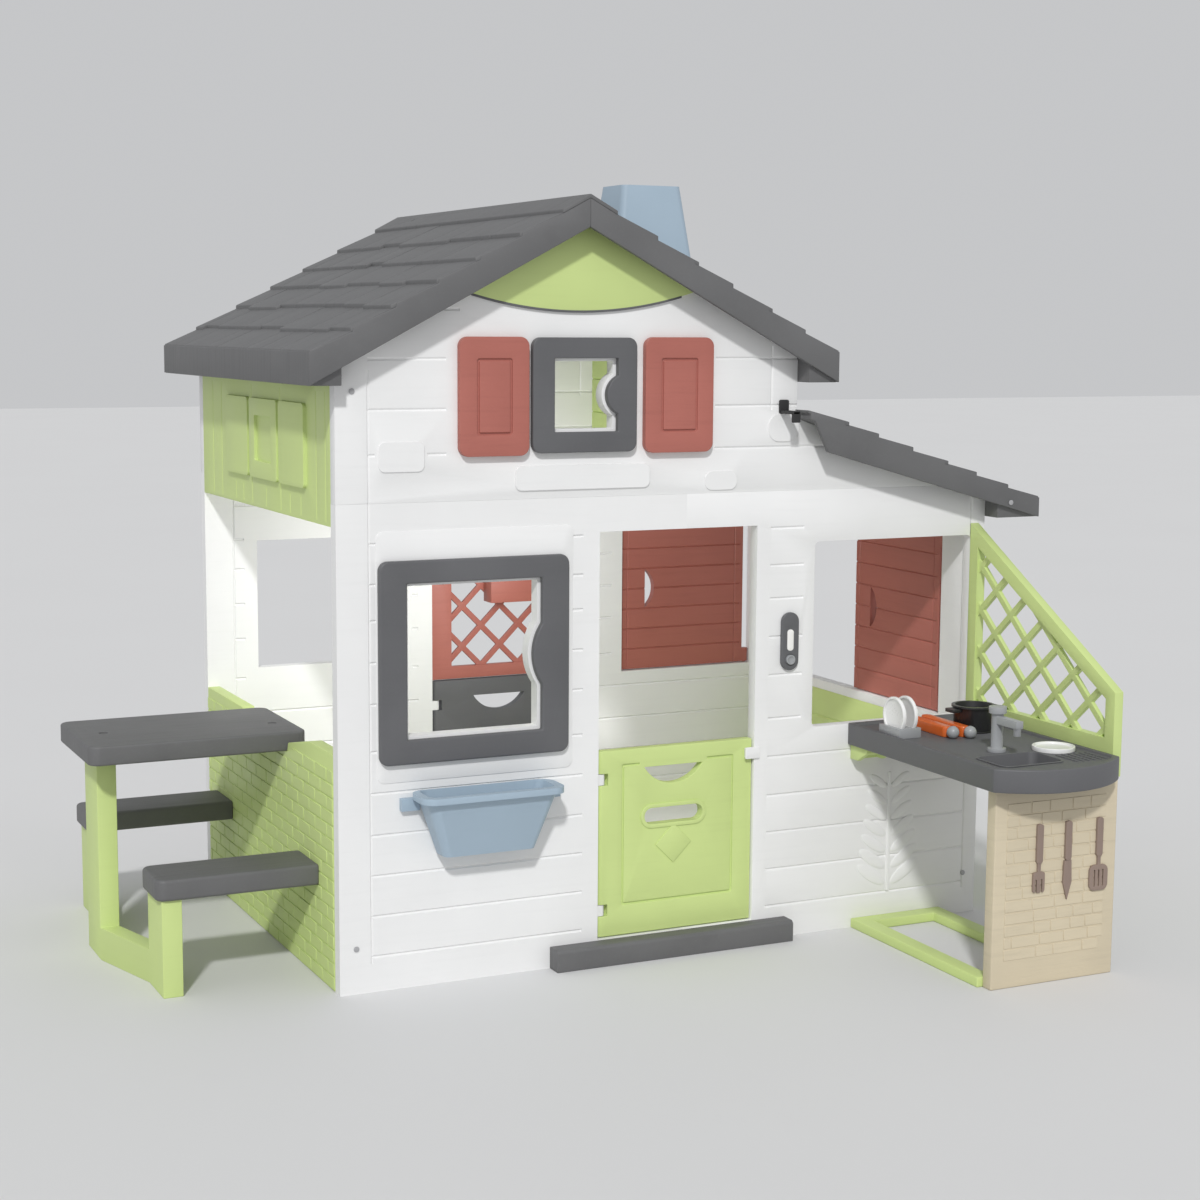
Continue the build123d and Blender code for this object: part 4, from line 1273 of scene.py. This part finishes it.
@dataclass
class Shutters:
    """The two hinged red shutters, boarded on both faces, with a raised rim round the moon grip."""

    board: float = 54
    stile: float = 46
    moon_level: float = 674
    moon_radius: float = 62
    moon_setback: float = 34
    moon_reach: float = 120
    moon_levels: tuple[float, float] = (500, 850)
    rim: tuple[float, float] = (7, 2.0)
    board_count: int = 7
    stile_overlap: float = 30
    board_line: float = 2.6
    stile_line: float = 2.2

    def half_moon(
        self,
        axis: str,
        face: float,
        centre: float,
        side: int,
        wider: float,
        deeper: float,
        length: float,
    ) -> bpy.types.Object:
        """A half moon on a face: a rod along one axis, kept only within a block.

        Args:
            axis: The axis that the face looks along, "X" or "Y".
            face: Where the face lies on that axis.
            centre: The moon's centre across the shutter.
            side: 1 where the round side lies further along the shutter, -1 where nearer.
            wider: How much wider than the grip the moon is.
            deeper: How far it reaches past both faces of the rim.
            length: The rod's length.

        Returns:
            The half moon.
        """
        across = sorted((
            centre + side * (self.moon_setback - wider), centre + side * self.moon_reach
        ))
        depth = (face - 2 - deeper, face + self.rim[1] + deeper)
        ends = list(zip(depth, across, self.moon_levels))
        place = (face, centre, self.moon_level)
        if axis == "Y":
            ends = [(along, deep, level) for deep, along, level in ends]
            place = (centre, face, self.moon_level)
        disc = rod(place, axis, length, self.moon_radius + wider, 64)
        return shaped(disc, block(*ends), "INTERSECT")

    def shutter(self, node: str, axis: str, across: list, upright: list) -> None:
        """Models one shutter with its lines and the rim of its grip.

        Args:
            node: The CAD node.
            axis: The axis that its faces look along, "X" or "Y".
            across: The level lines' cutters.
            upright: The upright lines' cutters.
        """
        low, high = house_box(node)
        if axis == "X":
            face, centre, side = high.x, high.y - self.moon_setback, -1
        else:
            face, centre, side = high.y, low.x + self.moon_setback, 1
        outer = self.half_moon(axis, face, centre, side, self.rim[0], 0, 20)
        inner = self.half_moon(axis, face, centre, side, 0, 9, 40)
        moulding(node, 1.2, 2, [gathered(across), gathered(upright)], folds=FEW_FOLDS)
        rim = softened(shaped(outer, inner), 0.8)
        dressed(rim, f"{node}_moon_rim", Finish.SHUTTER_RED, BODY_OF[node])

    def build(self) -> None:
        """Models both shutters."""
        low, high = house_box("right_shutter")
        levels = [low.z + 10 + self.board * step for step in range(1, self.board_count + 1)]
        feet, tops = low.z + 12, high.z + 2
        overlap, deep = self.stile_overlap, self.board_line
        faces = (low.x, high.x)
        stiles = (low.y + self.stile, high.y - self.stile + overlap)
        across = [
            vee((x, low.y + overlap, z), (x, high.y + 2, z), deep) for z in levels for x in faces
        ]
        upright = [
            vee((x, y, feet), (x, y, tops), self.stile_line) for y in stiles for x in faces
        ]
        self.shutter("right_shutter", "X", across, upright)
        low, high = house_box("rear_shutter")
        feet, tops = low.z + 12, high.z + 2
        faces = (low.y, high.y)
        stiles = (low.x + self.stile - overlap, high.x - self.stile)
        across = [
            vee((low.x - 2, y, z), (high.x - overlap, y, z), deep) for z in levels for y in faces
        ]
        upright = [
            vee((x, y, feet), (x, y, tops), self.stile_line) for x in stiles for y in faces
        ]
        self.shutter("rear_shutter", "Y", across, upright)


@dataclass
class Lattices:
    """The barred window at the rear with its letter box, and the kitchen's trellis."""

    def build(self) -> None:
        """Models the three pieces."""
        moulding("rear_lattice", 1.4)
        moulding("letter_box", 1.6)
        moulding("trellis", 2.0, 2)


# ------------------------------------------------------------------------------------ picnic table
@dataclass
class PicnicTable:
    """The table and its two benches, on one pair of legs at the house's left."""

    dimples: tuple = ((5, 472), (-362, 506))
    dimple_radius: float = 10

    def build(self) -> None:
        """Models the table top, the benches and their support."""
        top = house_box("table_top")[1].z
        dimples = [rod((x, y, top), "Z", 5, self.dimple_radius) for x, y in self.dimples]
        moulding("table_top", 5.0, 4, dents=[gathered(dimples)])
        for node in ("bench_front", "bench_rear"):
            moulding(node, 7.0, 4)
        moulding("table_support", 4.0, 3)


# ------------------------------------------------------------------------------------ play kitchen
@dataclass
class Kitchen:
    """The counter with its front panel, base, fittings and toys."""

    rib_ends: tuple[float, float] = (-545, -470)
    rib_span: tuple[float, float] = (1436, 1512)
    rib_count: int = 6
    brick_row: float = 26
    brick_proud: float = 1.4
    brick_span: tuple[float, float] = (1275, 1530)
    brick_levels: tuple[float, float] = (60, 405)
    brick_lengths: tuple[float, float] = (38, 92)
    brick_joint: float = 3
    least_brick: float = 10
    first_cut: float = 30
    tray_depth: float = 6
    seed: int = 8

    def ribs(self, level: float) -> bpy.types.Object:
        """The raised ribs where plates drain.

        Args:
            level: The tray's floor.

        Returns:
            All of them as one piece.
        """
        start, end = self.rib_span
        gap = (end - start) / (self.rib_count - 1)
        front, back = self.rib_ends
        rib = plate((-2.5, front, level - 1), (2.5, back, level + 2.2), "Z", 2.4)
        master = softened(rib, 1)
        places = [(start + gap * step, 0, 0) for step in range(self.rib_count)]
        laid = [copied(master, place, (1, 1, 1)) for place in places]
        bpy.data.objects.remove(master)
        return gathered(laid)

    def bricks(self, face: float) -> bpy.types.Object:
        """The front panel's flat stones.

        Args:
            face: Where the panel's face lies behind the front wall's outer face.

        Returns:
            All of them as one piece, raised from the face.
        """
        chooser = random.Random(self.seed)
        master = block((0, 0, 0), (1, 1, 1))
        laid = []
        foot, top = self.brick_levels
        left, right = self.brick_span
        while foot + self.brick_row < top:
            x = left - chooser.uniform(0, self.first_cut)
            while x < right:
                length = chooser.uniform(*self.brick_lengths)
                start, end = max(x, left), min(x + length - self.brick_joint, right)
                x += length
                if end - start > self.least_brick:
                    height = self.brick_row - self.brick_joint
                    size = (end - start, self.brick_proud + 1, height)
                    laid.append(copied(master, (start, face - self.brick_proud, foot), size))
            foot += self.brick_row
        bpy.data.objects.remove(master)
        return softened(gathered(laid), 0.7, 1)

    def build(self) -> None:
        """Models the kitchen from the counter down, then what stands on it."""
        counter_floor = house_box("kitchen_counter")[1].z - self.tray_depth
        moulding("kitchen_counter", 3.0, 3)
        dressed(self.ribs(counter_floor), "counter_ribs", Finish.FRAME_GREY)
        moulding("kitchen_sink", 1.0, 2)
        moulding("kitchen_front_panel", 3.0, 3)
        face = house_box("kitchen_front_panel")[0].y
        dressed(self.bricks(face), "kitchen_panel_stones", Finish.KITCHEN_BEIGE)
        moulding("kitchen_base_frame", 3.0, 3)
        moulding("kitchen_bracket", 2.0, 2)
        for node, edge, segments in (
            ("kitchen_fork", 0.9, 2),
            ("kitchen_knife", 0.9, 2),
            ("kitchen_server", 0.9, 2),
            ("hob_plate", 0.9, 2),
            ("pot", 0.9, 2),
            ("tap", 1.0, 2),
            ("plate_rack", 1.5, 2),
            ("standing_plates", 1.2, 2),
            ("flat_plate", 1.4, 3),
            ("utensil_handles", 2.4, 3),
            ("utensil_tips", 1.4, 2),
            ("screws", 0.7, 2),
        ):
            moulding(node, edge, segments)


# ------------------------------------------------------------------------------------------ studio
@dataclass
class Studio:
    """The pale floor, the soft light and the camera."""

    camera_place: Point = (-1.97374, -4.26103, 1.37492)
    yaw: float = 25.6
    pitch: float = 7.41
    roll: float = 0.36
    lens: float = 63.55
    sensor: float = 36
    sight: float = 200
    floor_side: float = 60
    floor_shades: tuple = ((0.67, 0.67, 0.67), (0.69, 0.69, 0.69))
    floor_roughness: float = 0.8
    sky: tuple = (0.97, 0.98, 1.0, 1.0)
    sun_travel: Point = (0.9, 1.65, -1.55)
    sun_strength: float = 1.85
    sun_softness: float = 4.0
    sky_strength: float = 0.58
    room_lamps: tuple = (
        ("room_lamp", (-0.05, 0.06, 0.86), (72, 0, -12), 0.5, 5.0),
        ("loft_lamp", (-0.1, 0.2, 1.2), (0, 0, 0), 0.5, 0.7),
    )

    def floor(self) -> None:
        """Lays a plain pale floor."""
        bpy.ops.object.select_all(action="DESELECT")
        bpy.ops.mesh.primitive_plane_add(size=self.floor_side, location=(0, 0, 0))
        floor = bpy.context.object
        floor.name = "studio_floor"
        recipe = Recipe("studio floor")
        clouds = recipe.noise(recipe.place(), 0.8, 2.0)
        sockets = {
            "Base Color": recipe.blend(clouds, *self.floor_shades),
            "Roughness": self.floor_roughness,
        }
        shader = recipe.node("ShaderNodeBsdfPrincipled", {}, sockets)
        recipe.finish(shader)
        floor.data.materials.append(recipe.material)

    def light(self) -> None:
        """Sets a broad soft sun at the front left, and an even pale sky."""
        sun = bpy.data.lights.new("soft_sun", "SUN")
        sun.energy = self.sun_strength
        sun.angle = math.radians(self.sun_softness)
        lamp = bpy.data.objects.new("soft_sun", sun)
        lamp.rotation_euler = Vector(self.sun_travel).to_track_quat("-Z", "Y").to_euler()
        bpy.context.scene.collection.objects.link(lamp)
        for name, place, turn, size, power in self.room_lamps:
            soft = bpy.data.lights.new(name, "AREA")
            soft.shape = "DISK"
            soft.size = size
            soft.energy = power
            lamp = bpy.data.objects.new(name, soft)
            lamp.location = place
            lamp.rotation_euler = [math.radians(angle) for angle in turn]
            lamp.visible_camera = False
            bpy.context.scene.collection.objects.link(lamp)
        world = bpy.data.worlds.new("pale_sky")
        world.use_nodes = True
        sky = world.node_tree.nodes["Background"]
        sky.inputs["Color"].default_value = self.sky
        sky.inputs["Strength"].default_value = self.sky_strength
        bpy.context.scene.world = world
        bpy.context.scene.view_settings.view_transform = "Standard"

    def camera(self) -> None:
        """Places the camera."""
        yaw, pitch, roll = (math.radians(angle) for angle in (self.yaw, self.pitch, self.roll))
        right = Vector((math.cos(yaw), -math.sin(yaw), 0))
        level = math.cos(pitch)
        ahead = Vector((math.sin(yaw) * level, math.cos(yaw) * level, -math.sin(pitch)))
        above = right.cross(ahead)
        side = math.cos(roll) * right + math.sin(roll) * above
        top = -math.sin(roll) * right + math.cos(roll) * above
        turn = Matrix((side, top, -ahead)).transposed().to_4x4()
        lens = bpy.data.cameras.new("camera")
        lens.lens = self.lens
        lens.sensor_width = self.sensor
        lens.clip_end = self.sight
        item = bpy.data.objects.new("camera", lens)
        item.matrix_world = Matrix.Translation(self.camera_place) @ turn
        bpy.context.scene.collection.objects.link(item)
        bpy.context.scene.camera = item

    def build(self) -> None:
        """Sets the studio up."""
        self.floor()
        self.light()
        self.camera()


def main() -> None:
    """Builds the playhouse, sub-assembly by sub-assembly."""
    logging.basicConfig(level=logging.INFO, format="%(message)s")
    assemblies = (
        Studio(),
        FrontWall(),
        RearWall(),
        SidePanels(),
        Roofs(),
        Trims(),
        HalfDoors(),
        Doorbell(),
        Planter(),
        Shutters(),
        Lattices(),
        PicnicTable(),
        Kitchen(),
    )
    for assembly in assemblies:
        LOG.info("building %s", type(assembly).__name__)
        assembly.build()


if __name__ == "__main__":
    main()
